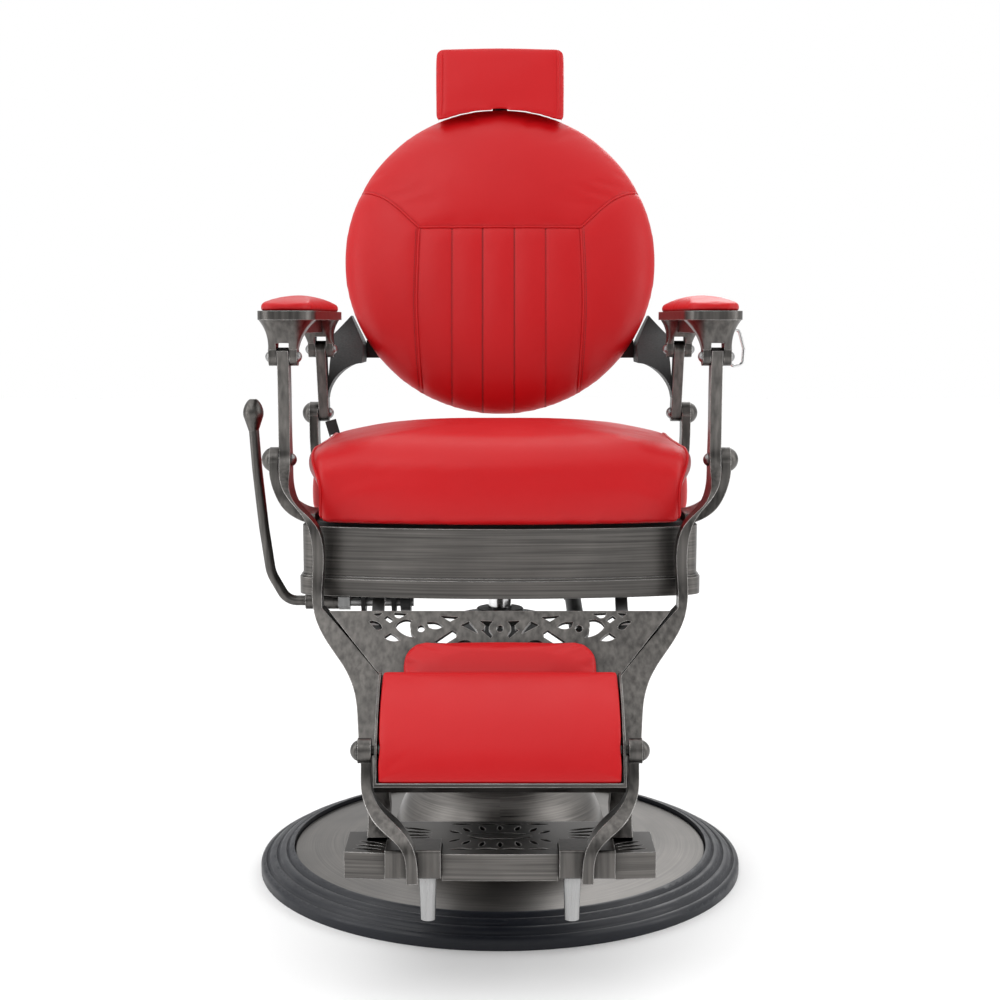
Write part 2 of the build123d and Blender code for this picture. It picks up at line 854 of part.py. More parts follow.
def back_bracket():
    """Left casting that carries the backrest on its link."""
    inner = LINK_X + BAR / 2
    front = outline([
        (inner, 676, -14),
        (-213, 728, 0),
        (-213, 754, 0),
        (-237, 801, 0),
        (inner, 772, 0),
    ])
    side = ribbon([
        (152, 660, 30),
        (165, 690, 34),
        (196, 718, 42),
        (240, 744, 50),
        (274, 774, 44),
        (284, 806, 34),
    ])
    return crossed(front, side)


def back_plate():
    """Steel cross plate behind the backrest that joins the two castings."""
    bar = block(-213, 213, 266, 286, 734, 762)
    mount = extrude(BACK_PLANE * Pos(0, -80, -40) * Rectangle(240, 150), 6)
    return bar + (mount - bar)


def back_board():
    """Round plywood board inside the backrest."""
    return extrude(BACK_PLANE * Pos(0, 0, -22) * Circle(BACK_R - 14), 12)


def back_cushion():
    """Front cushion of the backrest, thin at its edge and crowned."""
    profile = outline([
        (0, -9.7, 0),
        (BACK_R - 13, -9.7, 0),
        (BACK_R - 13, -22, 0),
        (BACK_R - 5, -22, 4),
        (BACK_R - 12, 22, 6),
        (BACK_R - 50, 41, 0),
        (BACK_R / 2, 47, 0),
        (0, 48, 0),
    ])
    return BACK_PLANE * revolve(Plane.XZ * profile, Axis.Z)


def back_cover():
    """Upholstered rear cover of the backrest."""
    profile = outline([
        (0, -34, 0),
        (BACK_R - 30, -34, 3),
        (BACK_R - 8, -22.3, 0),
        (0, -22.3, 0),
    ])
    return BACK_PLANE * revolve(Plane.XZ * profile, Axis.Z)


def local_block(x0, x1, v0, v1, w0, w1):
    """Box in the backrest's own plane."""
    return BACK_PLANE * block(x0, x1, v0, v1, w0, w1)


def headrest_socket():
    """Guide on the back cover that the headrest's bar slides in."""
    body = local_block(-22, 22, 100, 232, -59, -34)
    return body - local_block(-12 - FIT, 12 + FIT, 90, 240, -54 - FIT, -46 + FIT)


def socket_knob():
    """Clamp screw knob on the back of the headrest guide."""
    knob = Pos(0, 210, -66) * Cylinder(13, 14) + Pos(0, 210, -60) * Cylinder(4, 8)
    return BACK_PLANE * (knob - block(-30, 30, 100, 240, -59, -30))


# ---------------------------------------------------------------- headrest
def local_disc(radius, x0, x1):
    """Cylinder along X on the headrest's hinge."""
    return BACK_PLANE * disc_x(radius, x0, x1, (HINGE_V, HINGE_W))


def headrest_bar():
    """Flat chrome bar that slides in the guide, with the hinge eye on top."""
    bar = local_block(-12, 12, 104, HINGE_V, -54, -46)
    return bar + local_disc(9, -12, 12) - local_disc(4 + FIT, -12, 12)


def headrest_plate():
    """Plate on the back of the headrest with two hinge ears."""
    plate = local_block(-60, 60, 262, 320, -36, -31)
    for side in (-1, 1):
        ear = local_disc(9, side * 12.5, side * 18) + local_block(
            side * 12.5, side * 18, HINGE_V - 9, HINGE_V + 9, HINGE_W, -36)
        plate += ear
    return plate + local_disc(4, -20, 20)


def headrest_cushion():
    """Headrest pad, hollowed underneath to follow the round back's swelling face."""
    low = 222
    top = 331
    corner = 8
    back = -30.7
    front = 29.3
    pad = outline([
        (-HEADREST_HALF, low + corner, 2),
        (-HEADREST_HALF + corner, low, 0),
        (HEADREST_HALF - corner, low, 2),
        (HEADREST_HALF, low + corner, 0),
        (HEADREST_HALF, top, 4),
        (-HEADREST_HALF, top, 0),
    ])
    hollow = turned([
        (0, back - 5, 0),
        (BACK_R + 3, back - 5, 0),
        (BACK_R + 3, 4, 0),
        (BACK_R - 16, front + 5, 0),
        (0, front + 5, 0),
    ])
    return BACK_PLANE * (Pos(0, 0, back) * extrude(pad, front - back) - hollow)


# ---------------------------------------------------------------- armrests
def arm_plan(inset):
    """Plan of the left armrest."""
    x, y = ARM_CENTRE
    return Pos(x, y) * RectangleRounded(ARM_SIZE[0] - 2 * inset, ARM_SIZE[1] - 2 * inset, 30 - inset)


def arm_cap(centre_x, centre, width, depth, slot_top):
    """Flared end under the armrest, narrowing to a fork round a bar."""
    y, z = centre
    fork = 19
    top = Plane((ARM_CENTRE[0], y, ARM_LOW + 1)) * RectangleRounded(width, depth, 28)
    waist = Plane(((ARM_CENTRE[0] + centre_x) / 2, y, 776)) * RectangleRounded(width * 0.64, depth * 0.6, 12)
    low = Plane((centre_x, y, z + 9)) * RectangleRounded(2 * fork, 26, 4)
    body = loft([top, waist, low])
    body += block(centre_x - fork, centre_x + fork, y - 12, y + 12, z, z + 10)
    body += disc_x(12, centre_x - fork, centre_x + fork, centre)
    slot = BAR / 2 + 1
    return body - block(centre_x - slot, centre_x + slot, y - 40, y + 40, z - 20, slot_top)


def armrest():
    """Left armrest casting: a rimmed bar with a forked cap at each end."""
    body = slab(arm_plan(0), ARM_LOW, ARM_TOP + 2) - slab(arm_plan(3), ARM_TOP, ARM_TOP + 2)
    front_cap = arm_cap(POST_X_ARM, ARM_PIVOT_FRONT, 76, 70, 764)
    rear_cap = arm_cap(LINK_X, ARM_PIVOT_REAR, 72, 70, 769)
    spine = block(-292, -266, -170, 115, 776, ARM_LOW)
    body = body + front_cap + rear_cap + spine
    body -= disc_x(5, -310, -240, ARM_PIVOT_FRONT)
    return body - disc_x(5, -310, -240, ARM_PIVOT_REAR)


def arm_pad():
    """Domed pad set in the left armrest."""
    crown = Pos(ARM_CENTRE[0], ARM_CENTRE[1], 0) * cushion_crown(48, 1500, 829, 0)
    return slab(arm_plan(3.3), ARM_TOP + SEAT_GAP, 830) & crown


def arm_pin(centre_x, centre):
    """Pin through a fork of the left armrest, with a head at each end."""
    reach = 19
    pin = disc_x(5, centre_x - reach, centre_x + reach, centre)
    heads = dome_x(8, centre_x - reach, centre, -1) + dome_x(8, centre_x + reach, centre, 1)
    return pin + heads


def arm_pins():
    """The four pins of the two armrests."""
    return with_mirror(arm_pin(POST_X_ARM, ARM_PIVOT_FRONT) + arm_pin(LINK_X, ARM_PIVOT_REAR))


def trigger_mount():
    """Two small ears under the right armrest that hold the release loop."""
    x, y, z = TRIGGER_PIVOT
    ears = block(x - 6, x + 6, y - 12, y - 8, z - 6, ARM_LOW)
    ears += block(x - 6, x + 6, y + 8, y + 12, z - 6, ARM_LOW)
    hole = Pos(x, y, z) * Rot(90, 0, 0) * Cylinder(2.5 + FIT, 30)
    return ears - hole


def trigger_loop():
    """Wire loop that releases the backrest."""
    x, y, z = TRIGGER_PIVOT
    points = [
        (x + 2, y, z),
        (x + 19, y, z),
        (x + 26, y, z - 26),
        (x + 25, y, z - 47),
        (x + 10, y, z - 50),
        (x + 3, y, z - 30),
        (x, y, z - 2),
    ]
    path = FilletPolyline(*points, radius=6)
    section = Plane(origin=path @ 0, z_dir=path % 0) * Circle(2.2)
    hub = Pos(x, y, z) * Rot(90, 0, 0) * Cylinder(4.5, 15)
    pin = Pos(x, y, z) * Rot(90, 0, 0) * Cylinder(2.5, 26)
    return sweep(section, path=path) + hub + pin


# ---------------------------------------------------------------- gas spring
def along_spring(distance):
    """Point at a distance from the spring's rear eye towards its front eye, as (Y, Z)."""
    dy = SPRING_FRONT[0] - SPRING_REAR[0]
    dz = SPRING_FRONT[1] - SPRING_REAR[1]
    length = math.hypot(dy, dz)
    return SPRING_REAR[0] + dy * distance / length, SPRING_REAR[1] + dz * distance / length


def spring_cylinder(radius, start, end):
    """Cylinder along the spring's line between two distances from its rear eye."""
    angle = math.degrees(math.atan2(SPRING_REAR[1] - SPRING_FRONT[1], SPRING_REAR[0] - SPRING_FRONT[0]))
    y, z = along_spring((start + end) / 2)
    return Pos(SPRING_X, y, z) * Rot(90 + angle, 0, 0) * Cylinder(radius, abs(end - start))


def spring_barrel():
    """Barrel of the gas spring with its rear eye."""
    body = spring_cylinder(12, 34, 235) - spring_cylinder(6.5, 60, 236)
    eye = disc_x(11, SPRING_X - 6, SPRING_X + 6, SPRING_REAR) + spring_cylinder(5, 8, 36)
    return body + eye - disc_x(5 + FIT, SPRING_X - 8, SPRING_X + 8, SPRING_REAR)


def spring_rod():
    """Rod of the gas spring with its front eye."""
    length = math.hypot(SPRING_FRONT[0] - SPRING_REAR[0], SPRING_FRONT[1] - SPRING_REAR[1])
    eye = disc_x(11, SPRING_X - 6, SPRING_X + 6, SPRING_FRONT)
    rod = spring_cylinder(5, 93, length - 4) + eye
    return rod - disc_x(5 + FIT, SPRING_X - 8, SPRING_X + 8, SPRING_FRONT)


# ---------------------------------------------------------------- write every sub-part
os.makedirs("parts", exist_ok=True)

SINGLE_PARTS = {
    "base_plate": base_plate,
    "base_ring": base_ring,
    "column_bell": column_bell,
    "pump_tank": pump_tank,
    "pump_cylinder": pump_cylinder,
    "gland_collar": gland_collar,
    "tank_bolts": tank_bolts,
    "ram": ram,
    "thrust_bearing": thrust_bearing,
    "swivel_head": swivel_head,
    "seat_frame": seat_frame,
    "seat_beams": seat_beams,
    "seat_board": seat_board,
    "seat_cushion": seat_cushion,
    "pull_tab": pull_tab,
    "pivot_caps": pivot_caps,
    "pivot_bolts": pivot_bolts,
    "leg_stops": leg_stops,
    "stop_bumpers": stop_bumpers,
    "spring_anchor": spring_anchor,
    "lever_bearings": lever_bearings,
    "seat_screws": seat_screws,
    "lever_arm": lever_arm,
    "lever_shaft": lever_shaft,
    "lever_cam": lever_cam,
    "lever_nut": lever_nut,
    "leg_panel": leg_panel,
    "calf_pad": calf_pad,
    "spring_lug": spring_lug,
    "footboard": footboard,
    "footboard_blocks": footboard_blocks,
    "foot_pegs": foot_pegs,
    "pad_tray": pad_tray,
    "foot_pad": foot_pad,
    "pad_pins": pad_pins,
    "back_plate": back_plate,
    "back_board": back_board,
    "back_cushion": back_cushion,
    "back_cover": back_cover,
    "headrest_socket": headrest_socket,
    "socket_knob": socket_knob,
    "headrest_bar": headrest_bar,
    "headrest_plate": headrest_plate,
    "headrest_cushion": headrest_cushion,
    "arm_pins": arm_pins,
    "trigger_mount": trigger_mount,
    "trigger_loop": trigger_loop,
    "spring_barrel": spring_barrel,
    "spring_rod": spring_rod,
}

MIRRORED_TOGETHER = {
    "front_brackets": front_bracket,
    "rear_brackets": rear_bracket,
    "pad_arms": pad_arm,
    "back_links": back_link,
    "back_brackets": back_bracket,
}

LEFT_AND_RIGHT = {
    "front_post": front_post,
    "armrest": armrest,
    "arm_pad": arm_pad,
}

for part_name, make in SINGLE_PARTS.items():
    save(part_name, make())
for part_name, make in MIRRORED_TOGETHER.items():
    save(part_name, with_mirror(make()))
for part_name, make in LEFT_AND_RIGHT.items():
    save_pair(part_name, make())
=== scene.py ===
import math

import bmesh
import bpy
import numpy as np
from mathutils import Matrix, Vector
from mathutils.bvhtree import BVHTree


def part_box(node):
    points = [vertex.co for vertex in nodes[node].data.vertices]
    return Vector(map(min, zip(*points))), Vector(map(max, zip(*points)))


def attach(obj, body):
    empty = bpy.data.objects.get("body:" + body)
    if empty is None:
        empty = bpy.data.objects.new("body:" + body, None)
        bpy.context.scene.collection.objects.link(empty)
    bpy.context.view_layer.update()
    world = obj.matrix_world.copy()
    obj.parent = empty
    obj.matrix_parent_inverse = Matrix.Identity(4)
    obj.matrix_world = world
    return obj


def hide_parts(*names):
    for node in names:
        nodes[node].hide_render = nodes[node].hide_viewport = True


# Hydraulic barber chair in metres, in the CAD model's frame: +Z up, the chair faces -Y, left is -X.

# ---------------------------------------------------------------- driving numbers
CAMERA_PLACE = (0.0, -2.295, 0.794)
CAMERA_PITCH = 6.43  # degrees below the horizon
CAMERA_LENS = 57.5
VOXEL = 0.005  # size of the cloth's squares
CLOTH_STEPS = 20
PIPING_R = 0.0021
THREAD_R = 0.00045
STITCH_PITCH = 0.0043
STITCH_LENGTH = 0.0030

BACK_TILT = math.radians(12)
BACK_CENTRE = (0.0, 0.255, 0.890)
BACK_R = 0.250
# Seams of the back in its own plane, as (across, up)
YOKE = [
    (-0.240, 0.112),
    (-0.213, 0.107),
    (-0.185, 0.095),
    (-0.160, 0.075),
    (-0.141, 0.055),
    (-0.126, 0.041),
]
YOKE_LOW = 0.041  # the channels run from here
CHANNEL_END = -0.243  # to here
CHANNELS = [-0.075, -0.027, 0.022, 0.071]
BOLSTER = 0.126  # the two heavier seams beside the channels
HEADREST_MIDDLE = 0.283  # up the back's plane

SEAT_FRONT = -0.210  # at its front corners
SEAT_BOW = 0.028  # how far the front bulges past them
BOW_HALF = 0.236
SEAT_REAR = 0.160
SEAT_TOP = 0.653
SEAT_LOW = 0.5275
SEAT_PLAN = [(-0.210, 0.2405), (-0.140, 0.262), (0.138, 0.262), (0.160, 0.250)]  # half width at each Y
SEAT_NOTCHES = (-0.080, 0.096)  # the lower sides are tucked in before the first Y and behind the second

# Foot and slope of the two pads that lean, as (Y, Z)
PANEL_TOP = (-0.265, 0.420)
PANEL_SLOPE = math.atan2(196, 135)
PAD_PIVOT = (-0.440, 0.285)
PAD_SLOPE = math.atan2(120, 105)

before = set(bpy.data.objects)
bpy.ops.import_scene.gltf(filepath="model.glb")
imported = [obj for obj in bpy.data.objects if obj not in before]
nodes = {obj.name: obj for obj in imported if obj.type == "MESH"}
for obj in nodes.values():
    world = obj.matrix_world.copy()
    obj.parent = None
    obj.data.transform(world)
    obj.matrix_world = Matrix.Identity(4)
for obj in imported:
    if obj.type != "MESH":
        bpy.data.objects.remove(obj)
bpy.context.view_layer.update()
scene = bpy.context.scene


# ---------------------------------------------------------------- material nodes
class Recipe:
    """One node material round a Principled shader, in the chair's own coordinates."""

    def __init__(self, name):
        self.material = bpy.data.materials.new(name)
        self.material.use_nodes = True
        self.tree = self.material.node_tree
        self.shader = self.tree.nodes["Principled BSDF"]
        self.place = self.tree.nodes.new("ShaderNodeTexCoord").outputs["Object"]

    def feed(self, socket, value):
        """Links a socket to the input, or sets it to a number or colour."""
        if isinstance(value, bpy.types.NodeSocket):
            self.tree.links.new(value, socket)
        else:
            socket.default_value = value

    def node(self, kind, inputs, **settings):
        """New node with its settings and inputs."""
        made = self.tree.nodes.new(kind)
        for name, value in settings.items():
            setattr(made, name, value)
        for name, value in inputs.items():
            self.feed(made.inputs[name], value)
        return made

    def finish(self, **inputs):
        """Feeds the shader and returns the material. An underscore in a name is a space."""
        for name, value in inputs.items():
            self.feed(self.shader.inputs[name.replace("_", " ")], value)
        return self.material

    def noise(self, scale, detail=3.0, place=None):
        """Soft noise from 0 to 1."""
        inputs = {"Vector": place or self.place, "Scale": scale, "Detail": detail}
        return self.node("ShaderNodeTexNoise", inputs).outputs["Fac"]

    def stretched(self, scale, place=None):
        """Coordinates scaled apart along X, Y and Z."""
        inputs = {"Vector": place or self.place, "Scale": scale}
        return self.node("ShaderNodeMapping", inputs).outputs["Vector"]

    def turned(self, across, round_about):
        """Coordinates of a lathe round Z: close rings, and slow change round them."""
        parts = self.node("ShaderNodeSeparateXYZ", {"Vector": self.place})
        x, y, z = parts.outputs
        squares = self.calc("ADD", self.calc("MULTIPLY", x, x), self.calc("MULTIPLY", y, y))
        angle = self.calc("ARCTAN2", x, y)
        inputs = {
            "X": self.calc("MULTIPLY", self.calc("SQRT", squares), across),
            "Y": self.calc("MULTIPLY", z, across),
            "Z": self.calc("MULTIPLY", angle, round_about),
        }
        return self.node("ShaderNodeCombineXYZ", inputs).outputs["Vector"]

    def calc(self, operation, a, b=0.0):
        """One sum on two values."""
        return self.node("ShaderNodeMath", {0: a, 1: b}, operation=operation).outputs[0]

    def ranged(self, value, low, high, start=0.0, end=1.0):
        """Maps low..high of a value to start..end, and clamps it."""
        inputs = {"Value": value, "From Min": low, "From Max": high, "To Min": start, "To Max": end}
        return self.node("ShaderNodeMapRange", inputs).outputs["Result"]

    def mix(self, factor, first, second):
        """Colour between two colours."""
        inputs = {0: factor, 6: first, 7: second}
        return self.node("ShaderNodeMix", inputs, data_type="RGBA").outputs[2]

    def bump(self, height, strength, distance, normal=None):
        """Bumped normal."""
        inputs = {"Height": height, "Strength": strength, "Distance": distance}
        if normal:
            inputs["Normal"] = normal
        return self.node("ShaderNodeBump", inputs).outputs["Normal"]

    def rounded(self, radius):
        """Normal with rounded edges, and how near an outer edge a point is."""
        normal = self.node("ShaderNodeBevel", {"Radius": radius}, samples=4).outputs["Normal"]
        flat = self.node("ShaderNodeNewGeometry", {}).outputs["Normal"]
        dot = self.node("ShaderNodeVectorMath", {0: normal, 1: flat}, operation="DOT_PRODUCT")
        return normal, self.ranged(dot.outputs["Value"], 0.995, 0.90)

    def open_air(self, distance):
        """1 where a surface is open, towards 0 in corners and recesses."""
        return self.node("ShaderNodeAmbientOcclusion", {"Distance": distance}, samples=4).outputs["AO"]


def grey(value, warmth=0.0):
    """Grey as a colour, with a little brown in it."""
    return (value * (1 + warmth), value, value * (1 - warmth), 1)


# ---------------------------------------------------------------- metals
def worn_metal(name, dark, light, grain, edge, roughness, turned=False, anisotropy=0.0):
    """Dark plated metal with fine brushing, lighter edges that are partly wear and partly a painted edge
    highlight, and painted shade with some grime darkening its corners and recesses.
    """
    recipe = Recipe(name)
    place = recipe.turned(grain, 1.5) if turned else recipe.stretched(grain)
    brush = recipe.noise(1.0, 4.0, place)
    cloud = recipe.noise(14.0, 3.0)
    normal, near_edge = recipe.rounded(0.0014)
    air = recipe.open_air(0.02)
    body = recipe.mix(recipe.ranged(brush, 0.3, 0.7), grey(dark, 0.05), grey(light, 0.06))
    body = recipe.mix(recipe.ranged(cloud, 0.3, 0.7, 0.0, 0.35), body, grey(dark * 0.75, 0.03))
    # Lighter along outer edges away from recesses: partly worn metal, partly a painted edge highlight.
    rubbed_and_highlit = recipe.calc("MULTIPLY", near_edge, recipe.ranged(air, 0.55, 0.9))
    rubbed_and_highlit = recipe.calc("MULTIPLY", rubbed_and_highlit, recipe.ranged(recipe.noise(60.0), 0.25, 0.6, 0.35, 0.9))
    body = recipe.mix(rubbed_and_highlit, body, grey(edge, 0.03))
    # Darker in corners and recesses by ambient occlusion: painted shade, with some grime.
    body = recipe.mix(recipe.ranged(air, 0.35, 0.9), grey(dark * 0.35, 0.05), body)
    rough = recipe.ranged(brush, 0.2, 0.8, roughness - 0.08, roughness + 0.1)
    return recipe.finish(
        Base_Color=body,
        Metallic=1.0,
        Roughness=rough,
        Anisotropic=anisotropy,
        Normal=recipe.bump(brush, 0.22, 0.0004, normal),
    )


def bright_metal(name, colour, roughness, grain):
    """Polished or plated metal with a faint grain, with painted shade in its recesses and a painted
    highlight along its edges.
    """
    recipe = Recipe(name)
    brush = recipe.noise(1.0, 3.0, recipe.stretched(grain))
    normal, near_edge = recipe.rounded(0.0008)
    body = recipe.mix(recipe.ranged(brush, 0.3, 0.7, 0.0, 0.5), grey(colour), grey(colour * 0.8))
    # Darker in recesses by ambient occlusion: painted shade.
    body = recipe.mix(recipe.ranged(recipe.open_air(0.012), 0.3, 0.9), grey(colour * 0.35), body)
    # The base colour turns pale along outer edges: a painted edge highlight.
    return recipe.finish(
        Base_Color=recipe.mix(recipe.calc("MULTIPLY", near_edge, 0.5), body, grey(0.9)),
        Metallic=1.0,
        Roughness=recipe.ranged(brush, 0.2, 0.8, roughness * 0.8, roughness * 1.3),
        Normal=recipe.bump(brush, 0.08, 0.0002, normal),
    )


def painted_iron(name, colour, roughness, texture):
    """Black powder coat over a casting."""
    recipe = Recipe(name)
    pits = recipe.noise(texture, 2.0)
    normal, near_edge = recipe.rounded(0.0014)
    body = recipe.mix(recipe.ranged(recipe.noise(9.0), 0.3, 0.7, 0.0, 0.5), grey(colour), grey(colour * 1.7))
    # The base colour is lighter along outer edges: a painted edge highlight.
    return recipe.finish(
        Base_Color=recipe.mix(recipe.calc("MULTIPLY", near_edge, 0.35), body, grey(colour * 5)),
        Metallic=0.35,
        Roughness=recipe.ranged(pits, 0.3, 0.7, roughness - 0.06, roughness + 0.1),
        Normal=recipe.bump(pits, 0.35, 0.0005, normal),
    )


# ---------------------------------------------------------------- rubber, vinyl, cloth, wood
def rubber(name, colour):
    """Moulded rubber, slightly dusty, with a soft shine."""
    recipe = Recipe(name)
    normal, near_edge = recipe.rounded(0.001)
    dust = recipe.ranged(recipe.noise(7.0, 5.0), 0.35, 0.75, 0.0, 0.2)
    body = recipe.mix(dust, colour, tuple(c * 2.2 for c in colour[:3]) + (1,))
    # Lighter along outer edges: a painted edge highlight.
    body = recipe.mix(recipe.calc("MULTIPLY", near_edge, 0.4), body, tuple(c * 4 for c in colour[:3]) + (1,))
    fine = recipe.noise(1400.0, 2.0)
    return recipe.finish(
        Base_Color=body,
        Roughness=recipe.ranged(recipe.noise(30.0), 0.3, 0.7, 0.34, 0.48),
        Normal=recipe.bump(fine, 0.12, 0.0002, normal),
        Specular_IOR_Level=0.45,
    )


def vinyl(name, colour, deep):
    """Upholstery vinyl: pebbled grain, faint creases, and shade sunk into its seams."""
    recipe = Recipe(name)
    cells = recipe.node(
        "ShaderNodeTexVoronoi", {"Vector": recipe.place, "Scale": 620.0}, feature="DISTANCE_TO_EDGE"
    ).outputs["Distance"]
    pebble = recipe.ranged(cells, 0.0, 0.25)
    crease = recipe.noise(38.0, 4.0, recipe.stretched((1.0, 1.0, 0.6)))
    seam = recipe.node("ShaderNodeAttribute", {}, attribute_name="seam").outputs["Fac"]
    body = recipe.mix(recipe.ranged(recipe.noise(5.0, 2.0), 0.3, 0.7, 0.0, 0.25), colour, deep)
    # Darker in the low valleys between the pebbles: painted shade in the grain.
    body = recipe.mix(recipe.ranged(pebble, 0.0, 1.0, 0.18, 0.0), body, deep)
    body = recipe.mix(recipe.calc("MULTIPLY", seam, 0.75), body, tuple(c * 0.35 for c in deep[:3]) + (1,))
    normal = recipe.bump(crease, 0.10, 0.004)
    return recipe.finish(
        Base_Color=body,
        Roughness=recipe.ranged(recipe.noise(22.0), 0.3, 0.7, 0.38, 0.47),
        Normal=recipe.bump(pebble, 0.16, 0.00025, normal),
        Specular_IOR_Level=0.34,
    )


def woven(name, colour, pitch):
    """Plain weave, in two crossed sets of threads."""
    recipe = Recipe(name)
    parts = recipe.node("ShaderNodeSeparateXYZ", {"Vector": recipe.place}).outputs
    rate = 2 * math.pi / pitch
    across = recipe.calc("SINE", recipe.calc("MULTIPLY", parts[0], rate))
    along = recipe.calc("SINE", recipe.calc("MULTIPLY", parts[2], rate))
    weave = recipe.calc("MULTIPLY", across, along)
    body = recipe.mix(recipe.ranged(weave, -1.0, 1.0), grey(colour * 0.5), grey(colour * 1.5))
    body = recipe.mix(recipe.ranged(recipe.noise(6.0), 0.3, 0.7, 0.0, 0.4), body, grey(colour * 2.4))
    return recipe.finish(
        Base_Color=body,
        Roughness=recipe.ranged(recipe.noise(40.0), 0.3, 0.7, 0.72, 0.86),
        Normal=recipe.bump(weave, 0.3, 0.0004),
        Sheen_Weight=0.2,
    )


def moulded_plastic(name, colour):
    """Black plastic with a spark-eroded skin."""
    recipe = Recipe(name)
    skin = recipe.noise(900.0, 2.0)
    normal, near_edge = recipe.rounded(0.0008)
    # Lighter along outer edges: a painted edge highlight.
    body = recipe.mix(recipe.calc("MULTIPLY", near_edge, 0.3), grey(colour), grey(colour * 4))
    return recipe.finish(
        Base_Color=body,
        Roughness=recipe.ranged(recipe.noise(18.0), 0.3, 0.7, 0.42, 0.55),
        Normal=recipe.bump(skin, 0.15, 0.0002, normal),
    )


def plywood(name):
    """Birch ply: pale faces, with thin dark glue lines through its thickness."""
    recipe = Recipe(name)
    grain = recipe.noise(1.0, 5.0, recipe.stretched((14.0, 160.0, 160.0)))
    height = recipe.node("ShaderNodeSeparateXYZ", {"Vector": recipe.place}).outputs[2]
    plies = recipe.ranged(recipe.calc("SINE", recipe.calc("MULTIPLY", height, 4200.0)), 0.6, 1.0)
    body = recipe.mix(grain, (0.46, 0.31, 0.17, 1), (0.62, 0.46, 0.29, 1))
    body = recipe.mix(recipe.calc("MULTIPLY", plies, 0.4), body, (0.2, 0.12, 0.06, 1))
    return recipe.finish(Base_Color=body, Roughness=0.62, Normal=recipe.bump(grain, 0.15, 0.0004))


def thread(name, colour):
    """Twisted sewing thread."""
    recipe = Recipe(name)
    twist = recipe.noise(2600.0, 1.0)
    body = recipe.mix(twist, colour, tuple(c * 0.6 for c in colour[:3]) + (1,))
    return recipe.finish(Base_Color=body, Roughness=0.6, Normal=recipe.bump(twist, 0.3, 0.0002))


def pale_floor():
    """Even pale studio floor with the faintest mottling."""
    recipe = Recipe("pale_floor")
    body = recipe.mix(recipe.noise(2.0, 2.0), (0.94, 0.94, 0.94, 1), (0.97, 0.97, 0.97, 1))
    return recipe.finish(Base_Color=body, Roughness=0.9, Specular_IOR_Level=0.1)


RED = (0.58, 0.0040, 0.0075, 1)
DEEP_RED = (0.43, 0.0024, 0.0048, 1)
MATERIALS = {
    "antique_metal": worn_metal("antique_metal", 0.07, 0.165, (150, 150, 7), 0.62, 0.34),
    "frame_metal": worn_metal("frame_metal", 0.07, 0.185, (4, 4, 330), 0.6, 0.34),
    "base_metal": worn_metal("base_metal", 0.11, 0.21, 520.0, 0.5, 0.34, turned=True, anisotropy=0.5),
    "tank_paint": painted_iron("tank_paint", 0.03, 0.42, 300.0),
    "black_casting": painted_iron("black_casting", 0.011, 0.52, 420.0),
    "steel": bright_metal("steel", 0.3, 0.34, (200, 200, 12)),
    "chrome": bright_metal("chrome", 0.72, 0.14, (90, 90, 4)),
    "polished_metal": bright_metal("polished_metal", 0.38, 0.24, (400, 400, 12)),
    "ring_rubber": rubber("ring_rubber", (0.0045, 0.0060, 0.0110, 1)),
    "bumper_rubber": rubber("bumper_rubber", (0.012, 0.012, 0.012, 1)),
    "red_vinyl": vinyl("red_vinyl", RED, DEEP_RED),
    "red_thread": thread("red_thread", (0.26, 0.006, 0.009, 1)),
    "black_cloth": woven("black_cloth", 0.012, 0.0011),
    "black_plastic": moulded_plastic("black_plastic", 0.012),
    "plywood": plywood("plywood"),
}
FINISHES = {
    "frame_metal": ["seat_frame", "footboard", "pad_tray"],
    "base_metal": ["base_plate", "column_bell"],
    "tank_paint": ["pump_tank", "gland_collar"],
    "black_casting": [
        "swivel_head", "seat_beams", "lever_bearings", "spring_anchor", "spring_lug", "back_brackets",
        "back_plate", "headrest_plate", "headrest_socket",
    ],
    "steel": [
        "thrust_bearing", "tank_bolts", "leg_stops", "lever_nut", "lever_shaft", "pump_cylinder",
        "pivot_bolts", "arm_pins", "seat_screws",
    ],
    "chrome": ["ram", "headrest_bar", "spring_rod", "trigger_loop"],
    "polished_metal": ["foot_pegs"],
    "ring_rubber": ["base_ring"],
    "bumper_rubber": ["stop_bumpers"],
    "black_plastic": ["socket_knob", "lever_cam", "spring_barrel", "trigger_mount"],
    "plywood": ["back_board"],
    "black_cloth": ["seat_board", "pull_tab"],
}


def paint(obj, name):
    """Gives every slot of an object one material."""
    if not obj.material_slots:
        obj.data.materials.append(MATERIALS[name])
    for holder in obj.material_slots:
        holder.material = MATERIALS[name]


def paint_frame():
    """Gives every CAD node its finish. What isn't listed is antique metal."""
    finish_of = {node: finish for finish, members in FINISHES.items() for node in members}
    for name, obj in nodes.items():
        paint(obj, finish_of.get(name, "antique_metal"))


# ---------------------------------------------------------------- mesh tools
class Plane:
    """Local frame with its X across the chair, v up a slope, and w out of it."""

    def __init__(self, origin, tilt):
        self.origin = np.array(origin)
        u = (1.0, 0.0, 0.0)
        v = (0.0, math.sin(tilt), math.cos(tilt))
        w = (0.0, -math.cos(tilt), math.sin(tilt))
        self.axes = np.array([u, v, w])

    def local(self, points):
        """World points as (u, v, w)."""
        return (points - self.origin) @ self.axes.T

    def world(self, points):
        """(u, v, w) points in the world."""
        return np.asarray(points) @ self.axes + self.origin


def read(mesh, field="co"):
    """Vertex places or normals as an array."""
    values = np.empty(len(mesh.vertices) * 3)
    mesh.vertices.foreach_get(field, values)
    return values.reshape(-1, 3)


def write(mesh, points):
    """Sets vertex places."""
    mesh.vertices.foreach_set("co", points.ravel())
    mesh.update()


